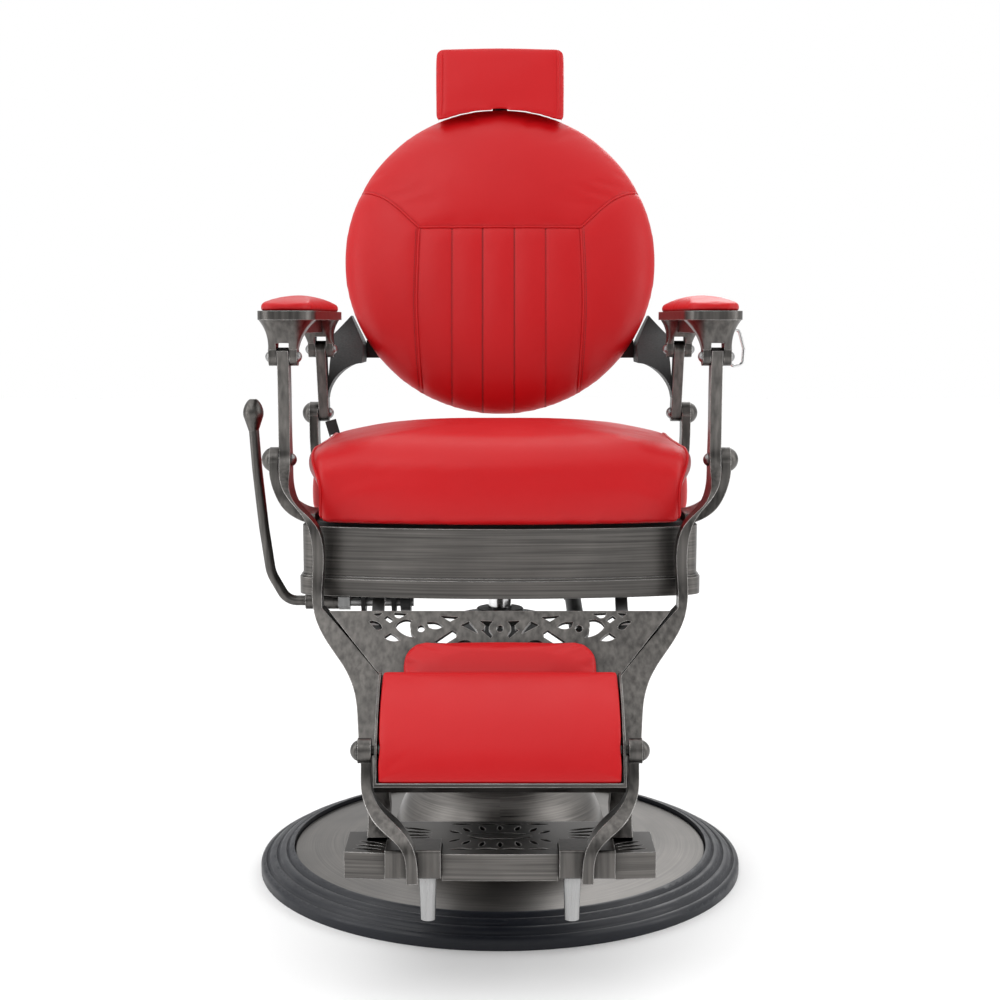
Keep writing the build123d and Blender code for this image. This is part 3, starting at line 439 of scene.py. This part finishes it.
def add_object(name, mesh, material):
    """New object in the scene with one material and smooth shading."""
    obj = bpy.data.objects.new(name, mesh)
    scene.collection.objects.link(obj)
    mesh.materials.clear()
    mesh.materials.append(MATERIALS[material])
    mesh.shade_smooth()
    return obj


def settle(obj):
    """Applies an object's modifiers."""
    graph = bpy.context.evaluated_depsgraph_get()
    old = obj.data
    obj.data = bpy.data.meshes.new_from_object(obj.evaluated_get(graph))
    obj.modifiers.clear()
    bpy.data.meshes.remove(old)
    obj.data.shade_smooth()


def remeshed(node, name, material, voxel=VOXEL, smooth=6):
    """Copy of a CAD solid as even squares, with its edges softened."""
    return voxelled(add_object(name, nodes[node].data.copy(), material), voxel, smooth)


def voxelled(obj, voxel, smooth):
    """Rebuilds a closed mesh as even squares, and softens its edges."""
    cut = obj.modifiers.new("voxels", "REMESH")
    cut.mode = "VOXEL"
    cut.voxel_size = voxel
    soften = obj.modifiers.new("soften", "SMOOTH")
    soften.iterations = smooth
    settle(obj)
    return obj


def shrink(obj, amount):
    """Moves every vertex inwards."""
    write(obj.data, read(obj.data) - read(obj.data, "normal") * amount)


def inflate(obj, held, pressure, cap):
    """Fills a closed cover like a cushion. Held vertices stay, and none moves further than the cap."""
    start = read(obj.data)
    group = obj.vertex_groups.new(name="held")
    group.add([int(index) for index in np.nonzero(held)[0]], 1.0, "REPLACE")
    cloth = obj.modifiers.new("cloth", "CLOTH")
    cloth.settings.quality = 5
    cloth.settings.mass = 0.3
    cloth.settings.vertex_group_mass = "held"
    cloth.settings.use_pressure = True
    cloth.settings.uniform_pressure_force = pressure
    cloth.settings.effector_weights.gravity = 0
    cloth.collision_settings.use_collision = False
    cloth.point_cache.frame_end = CLOTH_STEPS
    for step in range(1, CLOTH_STEPS + 1):
        scene.frame_set(step)
    settle(obj)
    scene.frame_set(1)
    obj.vertex_groups.clear()
    moved = read(obj.data) - start
    length = np.linalg.norm(moved, axis=1, keepdims=True)
    write(obj.data, start + moved * np.minimum(1, cap / np.maximum(length, 1e-9)))


def refine(obj, smooth=2):
    """One subdivision, and light smoothing."""
    soften = obj.modifiers.new("soften", "SMOOTH")
    soften.iterations = smooth
    finer = obj.modifiers.new("finer", "SUBSURF")
    finer.levels = 1
    finer.render_levels = 1
    settle(obj)


def distance_to(flat, lines):
    """Distance of 2-D points from the nearest of several polylines."""
    nearest = np.full(len(flat), 1e9)
    for line in lines:
        for a, b in zip(line[:-1], line[1:]):
            a = np.array(a)
            run = np.array(b) - a
            share = np.clip((flat - a) @ run / (run @ run), 0, 1)
            nearest = np.minimum(nearest, np.linalg.norm(flat - a - share[:, None] * run, axis=1))
    return nearest


def mark_seam(obj, amount):
    """Adds to the shade in the seams."""
    data = obj.data.attributes.get("seam") or obj.data.attributes.new("seam", "FLOAT", "POINT")
    before = np.zeros(len(obj.data.vertices), np.float32)
    data.data.foreach_get("value", before)
    data.data.foreach_set("value", np.maximum(before, amount).astype(np.float32))


def clear_seams(obj):
    """Forgets the shade in the seams, before they are pressed in again on a finer mesh."""
    data = obj.data.attributes.get("seam")
    if data:
        obj.data.attributes.remove(data)


def groove(obj, plane, lines, depth, width, ahead=0.2):
    """Presses seams into the side of a cushion that faces out of the plane."""
    points = read(obj.data)
    normals = read(obj.data, "normal")
    near = distance_to(plane.local(points)[:, :2], lines)
    faces = normals @ plane.axes[2] > ahead
    sunk = np.exp(-((near / width) ** 2)) * faces
    write(obj.data, points - normals * (depth * sunk)[:, None])
    mark_seam(obj, np.exp(-((near / (width * 0.45)) ** 2)) * faces)


def surface_of(obj):
    """Search tree of an object's surface."""
    mesh = obj.data
    return BVHTree.FromPolygons([v.co for v in mesh.vertices], [p.vertices[:] for p in mesh.polygons])


def spaced(line, gap):
    """A polyline's points, evenly spaced."""
    line = np.asarray(line, float)
    runs = np.linalg.norm(np.diff(line, axis=0), axis=1)
    reach = np.concatenate([[0], np.cumsum(runs)])
    count = max(2, int(round(reach[-1] / gap)) + 1)
    where = np.linspace(0, reach[-1], count)
    return np.stack([np.interp(where, reach, line[:, axis]) for axis in range(line.shape[1])], axis=1)


def rounded_line(line, times=3):
    """Cuts a polyline's corners until it is smooth, and keeps its ends."""
    line = np.asarray(line, float)
    for _ in range(times):
        first = line[:-1] * 0.75 + line[1:] * 0.25
        second = line[:-1] * 0.25 + line[1:] * 0.75
        inside = np.stack([first, second], axis=1).reshape(-1, line.shape[1])
        line = np.concatenate([line[:1], inside, line[-1:]])
    return line


def laid_on(tree, plane, line, lift):
    """Points of a (u, v) line dropped on to a surface along the plane's w, with the surface's normals."""
    places = []
    normals = []
    for u, v in line:
        start = Vector(plane.world((u, v, 0.3)))
        hit, normal, _, _ = tree.ray_cast(start, Vector(-plane.axes[2]))
        if hit is None:
            continue
        places.append(hit + normal * lift)
        normals.append(normal)
    return places, normals


def tube(name, points, radius, material, sides=10, closed=False):
    """Round tube along points, with tapered ends."""
    points = [Vector(p) for p in points]
    count = len(points)
    vertices = []
    faces = []
    up = Vector((0.31, 0.22, 0.93))
    for index, point in enumerate(points):
        after = points[(index + 1) % count] if closed else points[min(index + 1, count - 1)]
        before = points[index - 1] if closed else points[max(index - 1, 0)]
        along = (after - before).normalized()
        side = along.cross(up).normalized()
        up = side.cross(along).normalized()
        end = not closed and index in (0, count - 1)
        size = radius * (0.35 if end else 1.0)
        for step in range(sides):
            angle = 2 * math.pi * step / sides
            vertices.append(point + (side * math.cos(angle) + up * math.sin(angle)) * size)
    for index in range(count if closed else count - 1):
        base = index * sides
        following = ((index + 1) % count) * sides
        for step in range(sides):
            turn = (step + 1) % sides
            faces.append((base + step, base + turn, following + turn, following + step))
    if not closed:
        faces.append(tuple(range(sides))[::-1])
        faces.append(tuple(range((count - 1) * sides, count * sides)))
    mesh = bpy.data.meshes.new(name)
    mesh.from_pydata(vertices, [], faces)
    return add_object(name, mesh, material)


def point_along(reach, values, distance):
    """Value at a distance along a line, between the values at its points."""
    return np.array([np.interp(distance, reach, values[:, k]) for k in range(3)])


def stitches(name, runs, sides=6):
    """Separate stitches along several runs of (places, normals)."""
    vertices = []
    faces = []
    shape = ((0.0, 0.3), (0.15, 0.9), (0.5, 1.15), (0.85, 0.9), (1.0, 0.3))
    for places, normals in runs:
        line = np.array(places)
        lifts = np.array(normals)
        gaps = np.linalg.norm(np.diff(line, axis=0), axis=1)
        reach = np.concatenate([[0], np.cumsum(gaps)])
        for start in np.arange(STITCH_PITCH * 0.5, reach[-1] - STITCH_LENGTH, STITCH_PITCH):
            first = point_along(reach, line, start)
            second = point_along(reach, line, start + STITCH_LENGTH)
            lift = Vector(point_along(reach, lifts, start)).normalized()
            along = Vector(second - first).normalized()
            side = along.cross(lift).normalized()
            base = len(vertices)
            for share, size in shape:
                middle = Vector(first * (1 - share) + second * share)
                for step in range(sides):
                    angle = 2 * math.pi * step / sides
                    out = side * math.cos(angle) + lift * math.sin(angle)
                    vertices.append(middle + out * THREAD_R * size)
            for ring in range(len(shape) - 1):
                for step in range(sides):
                    a = base + ring * sides + step
                    b = base + ring * sides + (step + 1) % sides
                    faces.append((a, b, b + sides, a + sides))
            last = base + (len(shape) - 1) * sides
            faces.append(tuple(range(base, base + sides))[::-1])
            faces.append(tuple(range(last, last + sides)))
    mesh = bpy.data.meshes.new(name)
    mesh.from_pydata(vertices, [], faces)
    return add_object(name, mesh, "red_thread")


def hang(piece, body, slot, *stands_for, parts=(), fill=None):
    """Puts a piece and its details on a body, and hides the CAD parts it stands for."""
    for obj in (piece, *parts):
        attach(obj, body)
    if stands_for:
        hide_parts(*stands_for)


BACK = Plane(BACK_CENTRE, BACK_TILT)


# ---------------------------------------------------------------- backrest and headrest
def back_seams():
    """The yoke across the back, the two heavy seams and the four channels, as (u, v) lines."""
    yoke_left = rounded_line(YOKE)
    yoke = np.concatenate([yoke_left, yoke_left[::-1] * (-1, 1)])
    bolster = [
        (BOLSTER, YOKE_LOW),
        (BOLSTER + 0.003, -0.03),
        (BOLSTER + 0.004, -0.09),
        (BOLSTER, -0.16),
        (BOLSTER - 0.005, -0.222),
    ]
    heavy = [rounded_line([(side * u, v) for u, v in bolster]) for side in (-1, 1)]
    channels = [np.array([(u, YOKE_LOW), (u, CHANNEL_END)]) for u in CHANNELS]
    return yoke, heavy, channels


def turned_mesh(name, plane, profile, sides=96):
    """Closed surface turned about a plane's w, from (radius, w) points that start and end on its axis."""
    vertices = [plane.world((0, 0, profile[0][1]))]
    for radius, w in profile[1:-1]:
        for step in range(sides):
            angle = 2 * math.pi * step / sides
            vertices.append(plane.world((radius * math.cos(angle), radius * math.sin(angle), w)))
    vertices.append(plane.world((0, 0, profile[-1][1])))
    rings = len(profile) - 2
    last = len(vertices) - 1
    faces = []
    for step in range(sides):
        turn = (step + 1) % sides
        faces.append((0, 1 + turn, 1 + step))
        faces.append((last, 1 + (rings - 1) * sides + step, 1 + (rings - 1) * sides + turn))
        for ring in range(rings - 1):
            base = 1 + ring * sides
            faces.append((base + step, base + turn, base + sides + turn, base + sides + step))
    mesh = bpy.data.meshes.new(name)
    mesh.from_pydata([tuple(v) for v in vertices], [], faces)
    return mesh


def back_cushion():
    """Round back cushion, with a plain yoke over two heavy seams and four channels."""
    yoke, heavy, channels = back_seams()
    profile = [
        (0, -0.0095),
        (BACK_R - 0.0135, -0.0095),
        (BACK_R - 0.0135, -0.022),
        (BACK_R - 0.007, -0.022),
    ]
    for step in range(18):
        angle = math.radians(step * 5)
        radius = (BACK_R - 0.003) * math.cos(angle) ** 0.62
        profile.append((radius, -0.015 + 0.057 * math.sin(angle) ** 0.95))
    profile.append((0, 0.042))
    mesh = turned_mesh("back_cushion_vinyl", BACK, profile)
    cushion = voxelled(add_object("back_cushion_vinyl", mesh, "red_vinyl"), 0.0045, 4)
    groove(cushion, BACK, [yoke, *heavy], 0.0022, 0.008)
    groove(cushion, BACK, channels, 0.0018, 0.007)
    local = BACK.local(read(cushion.data))
    sewn = distance_to(local[:, :2], [yoke, *heavy, *channels]) < 0.003
    inflate(cushion, (local[:, 2] < -0.008) | (sewn & (local[:, 2] > 0)), 4.0, 0.006)
    refine(cushion, 8)
    clear_seams(cushion)
    groove(cushion, BACK, [yoke, *heavy], 0.0012, 0.0028)
    groove(cushion, BACK, channels, 0.0009, 0.0018)
    tree = surface_of(cushion)
    runs = [laid_on(tree, BACK, spaced(line, 0.003), 0.0003) for line in channels]
    runs += [laid_on(tree, BACK, spaced(offset_line(line, 0.0048), 0.003), 0.0001) for line in heavy]
    details = [stitches("back_cushion_stitches", runs)]
    for name, line in (("yoke", yoke), ("bolster_left", heavy[0]), ("bolster_right", heavy[1])):
        places, _ = laid_on(tree, BACK, spaced(line, 0.004), 0.0006)
        details.append(tube("back_cushion_fold_" + name, places, 0.0017, "red_vinyl"))
    hang(cushion, "backrest", "red_vinyl", "back_cushion", parts=details, fill=0.8)


def offset_line(line, shift):
    """A 2-D line moved sideways, away from the back's middle at the sides and up at the yoke."""
    line = np.asarray(line, float)
    run = np.gradient(line, axis=0)
    side = np.stack([-run[:, 1], run[:, 0]], axis=1)
    side /= np.linalg.norm(side, axis=1, keepdims=True)
    middle = line.mean(axis=0)
    outward = np.array([np.sign(middle[0]), 0.0]) if abs(middle[0]) > 0.01 else np.array([0.0, 1.0])
    if side.mean(axis=0) @ outward < 0:
        side = -side
    return line + side * shift


def back_cover():
    """Black fabric cover over the back of the backrest, piped round its edge."""
    cover = remeshed("back_cover", "back_cover_fabric", "black_cloth", smooth=6)
    local = BACK.local(read(cover.data))
    inflate(cover, local[:, 2] > -0.026, 1.5, 0.003)
    refine(cover)
    edge = BACK_R - 0.012
    ring = []
    for step in range(120):
        angle = 2 * math.pi * step / 120
        ring.append(BACK.world((edge * math.cos(angle), edge * math.sin(angle), -0.0255)))
    piping = tube("back_cover_piping", ring, PIPING_R, "black_cloth", closed=True)
    hang(cover, "backrest", "black_cloth", "back_cover", parts=[piping], fill=0.3)


def headrest_cushion():
    """Boxed headrest with a piped seam near each end, hollowed underneath round the back."""
    cushion = remeshed("headrest_cushion", "headrest_vinyl", "red_vinyl", voxel=0.004, smooth=8)
    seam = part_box("headrest_cushion")[1].x - 0.009
    local = BACK.local(read(cushion.data))
    lower = np.clip((0.275 - local[:, 1]) / 0.035, 0, 1)
    forward = np.clip((local[:, 2] + 0.01) / 0.03, 0, 1)
    local[:, 1] -= 0.006 * (lower * forward)
    local[:, 2] -= 0.0035 * (np.abs(local[:, 0]) > seam) * (local[:, 2] > 0)
    write(cushion.data, BACK.world(local))
    ends = np.abs(np.abs(local[:, 0]) - seam) < 0.003
    inflate(cushion, (local[:, 2] < -0.018) | ends | (local[:, 1] < 0.25), 3.0, 0.005)
    refine(cushion, 4)
    tree = surface_of(cushion)
    details = []
    for name, side in (("left", -1), ("right", 1)):
        middle = BACK.world((side * seam, HEADREST_MIDDLE, 0.0))
        rays = []
        for step in range(61):
            angle = math.radians(-70 + 230 * step / 60)
            up = HEADREST_MIDDLE + 0.2 * math.sin(angle)
            rays.append((BACK.world((side * seam, up, 0.2 * math.cos(angle))), middle))
        line = eased(hits(tree, rays), 3)
        details.append(tube("headrest_piping_" + name, line, PIPING_R, "red_vinyl"))
    hang(cushion, "headrest", "red_vinyl", "headrest_cushion", parts=details, fill=0.8)


# ---------------------------------------------------------------- seat
def soften_corner(first, second, radius):
    """Pulls points that lie outside a rounded corner on to its arc. Both are depths below two faces."""
    a = np.maximum(radius - first, 0)
    b = np.maximum(radius - second, 0)
    length = np.maximum(np.hypot(a, b), 1e-9)
    share = np.where((a > 0) & (b > 0), np.minimum(1, radius / length), 1.0)
    return a * (1 - share), b * (1 - share)


def hits(tree, rays):
    """Where rays from one point towards another meet a surface."""
    found = []
    for start, target in rays:
        direction = (Vector(target) - Vector(start)).normalized()
        place, _, _, _ = tree.ray_cast(Vector(start), direction)
        if place is not None:
            found.append(tuple(place))
    return found


def eased(line, times):
    """A polyline with its kinks averaged out. Its ends stay."""
    line = np.array(line, float)
    for _ in range(times):
        line[1:-1] = (line[:-2] + 2 * line[1:-1] + line[2:]) / 4
    return line


def snapped(tree, point, lift):
    """The nearest place on a surface, lifted a little."""
    place, normal, _, _ = tree.find_nearest(Vector(point))
    return place + normal * lift


def ease(value):
    """A share from 0 to 1, with soft ends."""
    value = np.clip(value, 0, 1)
    return value * value * (3 - 2 * value)


def seat_form(points):
    """Points of a block two units wide, deep and high, laid on the seat cushion's form."""
    u, v, w = points.T
    depth = (v + 1) / 2
    y = SEAT_FRONT + (SEAT_REAR - SEAT_FRONT) * depth
    half = np.interp(y, *zip(*SEAT_PLAN))
    x = u * half
    bow = SEAT_BOW * (1 - np.minimum(1, (x / BOW_HALF) ** 2))
    y = y - bow * (1 - depth) ** 2
    crown = SEAT_TOP - np.maximum(0.5 * x ** 2, 0.555 * (y + 0.04) ** 2)
    z = SEAT_LOW + (crown - SEAT_LOW) * (w + 1) / 2
    back, down = soften_corner(y - (SEAT_FRONT - bow), crown - z, 0.040)
    y = y + back
    z = z - down
    back, down = soften_corner(SEAT_REAR - y, crown - z, 0.022)
    y = y - back
    z = z - down
    inward, down = soften_corner(half - np.abs(x), crown - z, 0.010)
    z = z - down
    notch = ease((SEAT_NOTCHES[0] - y) / 0.02) + ease((y - SEAT_NOTCHES[1]) / 0.02)
    tucked = notch * ease((0.600 - z) / 0.038)
    inward = inward + tucked * np.maximum(np.abs(x) - 0.237, 0)
    return np.column_stack((x - np.sign(x) * inward, y, z))


def block_mesh(name, steps):
    """Closed block two units wide, with each face cut into squares."""
    mesh = bpy.data.meshes.new(name)
    shape = bmesh.new()
    bmesh.ops.create_cube(shape, size=2.0)
    bmesh.ops.subdivide_edges(shape, edges=shape.edges[:], cuts=steps, use_grid_fill=True)
    shape.to_mesh(mesh)
    shape.free()
    return mesh


def seat_cushion():
    """Deep seat cushion: its top and front are one panel, and its sides are boxed and piped."""
    mesh = block_mesh("seat_cushion_vinyl", 70)
    write(mesh, seat_form(read(mesh)))
    cushion = voxelled(add_object("seat_cushion_vinyl", mesh, "red_vinyl"), VOXEL, 4)
    inflate(cushion, read(cushion.data)[:, 2] < 0.537, 3.0, 0.0022)
    refine(cushion, 16)
    tree = surface_of(cushion)
    details = []
    for name, side in (("left", -1), ("right", 1)):
        rays = []
        for step in range(14):
            z = 0.534 + 0.060 * step / 13
            rays.append(((side * 0.330, -0.300, z), (side * 0.205, -0.170, z)))
        for step in range(30):
            y = -0.160 + 0.300 * step / 29
            rays.append(((side * 0.420, y, 0.730), (side * 0.200, y, 0.590)))
        line = eased(hits(tree, rays), 8)
        line = [snapped(tree, point, 0.0006) for point in spaced(line, 0.004)]
        details.append(tube("seat_piping_" + name, line, PIPING_R, "red_vinyl"))
    hang(cushion, "seat", "red_vinyl", "seat_cushion", parts=details, fill=0.85)


# ---------------------------------------------------------------- pads
def plain_pad(node, name, body, pinned, voxel, smooth, inset, pressure, cap, shape=None):
    """Small pad, filled from its CAD solid, or from that solid reshaped."""
    pad = remeshed(node, name, "red_vinyl", voxel=voxel, smooth=smooth)
    if shape:
        write(pad.data, shape(read(pad.data)))
    shrink(pad, inset)
    inflate(pad, pinned(read(pad.data)), pressure, cap)
    refine(pad)
    hang(pad, body, "red_vinyl", node, fill=0.8)


def on_slope(points, foot, slope):
    """How far points lie along a slope that runs up from its foot in Y and Z, and how far out of it."""
    y = points[:, 1] - foot[0]
    z = points[:, 2] - foot[1]
    along = y * math.cos(slope) + z * math.sin(slope)
    out = y * -math.sin(slope) + z * math.cos(slope)
    return along, out


def behind_calf(points):
    """The calf pad's back, on its panel."""
    _, out = on_slope(points, PANEL_TOP, PANEL_SLOPE)
    return out < 0.008


def behind_foot(points):
    """The flip pad's back, in its tray."""
    _, out = on_slope(points, PAD_PIVOT, PAD_SLOPE)
    return out < -0.004


def under_arm_pad(points):
    """The bottom of an arm pad, on its casting."""
    return points[:, 2] < 0.809


def over_the_end(points):
    """Draws the flip pad's front out over the open end of its tray."""
    along, out = on_slope(points, PAD_PIVOT, PAD_SLOPE)
    reach = 0.005 * np.clip((along - 0.09) / 0.015, 0, 1) * np.clip((out + 0.013) / 0.006, 0, 1)
    points[:, 1] += reach * math.cos(PAD_SLOPE)
    points[:, 2] += reach * math.sin(PAD_SLOPE)
    return points


def pads():
    """Calf pad, flip pad and the two arm pads."""
    plain_pad("calf_pad", "calf_pad_vinyl", "legs", behind_calf, 0.004, 10, 0.0015, 4.0, 0.006)
    plain_pad(
        "foot_pad", "foot_pad_vinyl", "flip_pad", behind_foot, 0.004, 6, 0.0012, 3.0, 0.006, over_the_end,
    )
    for side in ("left", "right"):
        name = "arm_pad_vinyl_" + side
        plain_pad("arm_pad_" + side, name, "armrests", under_arm_pad, 0.003, 6, 0.001, 3.0, 0.003)


# ---------------------------------------------------------------- stage
def look_at(obj, target):
    """Turns a light or camera to a point."""
    obj.rotation_euler = (Vector(target) - obj.location).to_track_quat("-Z", "Y").to_euler()


def soft_box(name, place, target, size, power):
    """Rectangular soft light."""
    light = bpy.data.lights.new(name, "AREA")
    light.shape = "RECTANGLE"
    light.size, light.size_y = size
    light.energy = power
    obj = bpy.data.objects.new(name, light)
    obj.location = place
    scene.collection.objects.link(obj)
    look_at(obj, target)


def sky():
    """White studio: brightest overhead and darker where the chair faces. The camera sees it plain white."""
    world = bpy.data.worlds.new("studio")
    world.use_nodes = True
    scene.world = world
    tree = world.node_tree

    def new(kind, inputs, **settings):
        """New node with its settings and inputs."""
        made = tree.nodes.new(kind)
        for name, value in settings.items():
            setattr(made, name, value)
        for name, value in inputs.items():
            if isinstance(value, bpy.types.NodeSocket):
                tree.links.new(value, made.inputs[name])
            else:
                made.inputs[name].default_value = value
        return made.outputs

    direction = new("ShaderNodeSeparateXYZ", {"Vector": new("ShaderNodeTexCoord", {})["Generated"]})
    upward = {"Value": direction["Z"], "From Min": 0.0, "To Min": 0.48, "To Max": 1.66}
    backward = {"Value": direction["Y"], "From Min": -1.0, "From Max": 0.3, "To Min": 0.5}
    high = new("ShaderNodeMapRange", upward)
    front = new("ShaderNodeMapRange", backward)
    glow = new("ShaderNodeMath", {0: high[0], 1: front[0]}, operation="MULTIPLY")
    seen = new("ShaderNodeLightPath", {})["Is Camera Ray"]
    strength = new("ShaderNodeMix", {0: seen, 2: glow[0], 3: 1.0}, data_type="FLOAT")
    tree.links.new(strength[0], tree.nodes["Background"].inputs["Strength"])
    tree.nodes["Background"].inputs["Color"].default_value = (1, 1, 1, 1)


def floor():
    """Plain floor that reaches past every view."""
    mesh = bpy.data.meshes.new("floor")
    reach = 14.0
    corners = [(-reach, -reach, 0), (reach, -reach, 0), (reach, reach, 0), (-reach, reach, 0)]
    mesh.from_pydata(corners, [], [(0, 1, 2, 3)])
    mesh.materials.append(pale_floor())
    obj = bpy.data.objects.new("floor", mesh)
    scene.collection.objects.link(obj)


def stage():
    """Floor, lights, sky and camera."""
    floor()
    soft_box("key_light", (-1.5, -2.4, 3.0), (0, 0, 0.7), (2.0, 2.0), 24)
    soft_box("top_light", (0.0, 0.2, 3.2), (0, 0, 0), (2.6, 2.2), 5)
    soft_box("left_light", (-2.7, -0.7, 1.3), (0, 0, 0.6), (0.7, 2.2), 15)
    soft_box("right_light", (2.7, -0.7, 1.3), (0, 0, 0.6), (0.7, 2.2), 15)
    soft_box("rear_light", (0.8, 2.8, 2.2), (0, 0, 0.8), (2.0, 1.4), 20)
    sky()
    camera = bpy.data.objects.new("camera", bpy.data.cameras.new("camera"))
    camera.location = CAMERA_PLACE
    camera.rotation_euler = (math.radians(90 - CAMERA_PITCH), 0, 0)
    camera.data.lens = CAMERA_LENS
    scene.collection.objects.link(camera)
    scene.camera = camera
    scene.view_settings.view_transform = "Standard"


paint_frame()
back_cushion()
back_cover()
headrest_cushion()
seat_cushion()
pads()
stage()
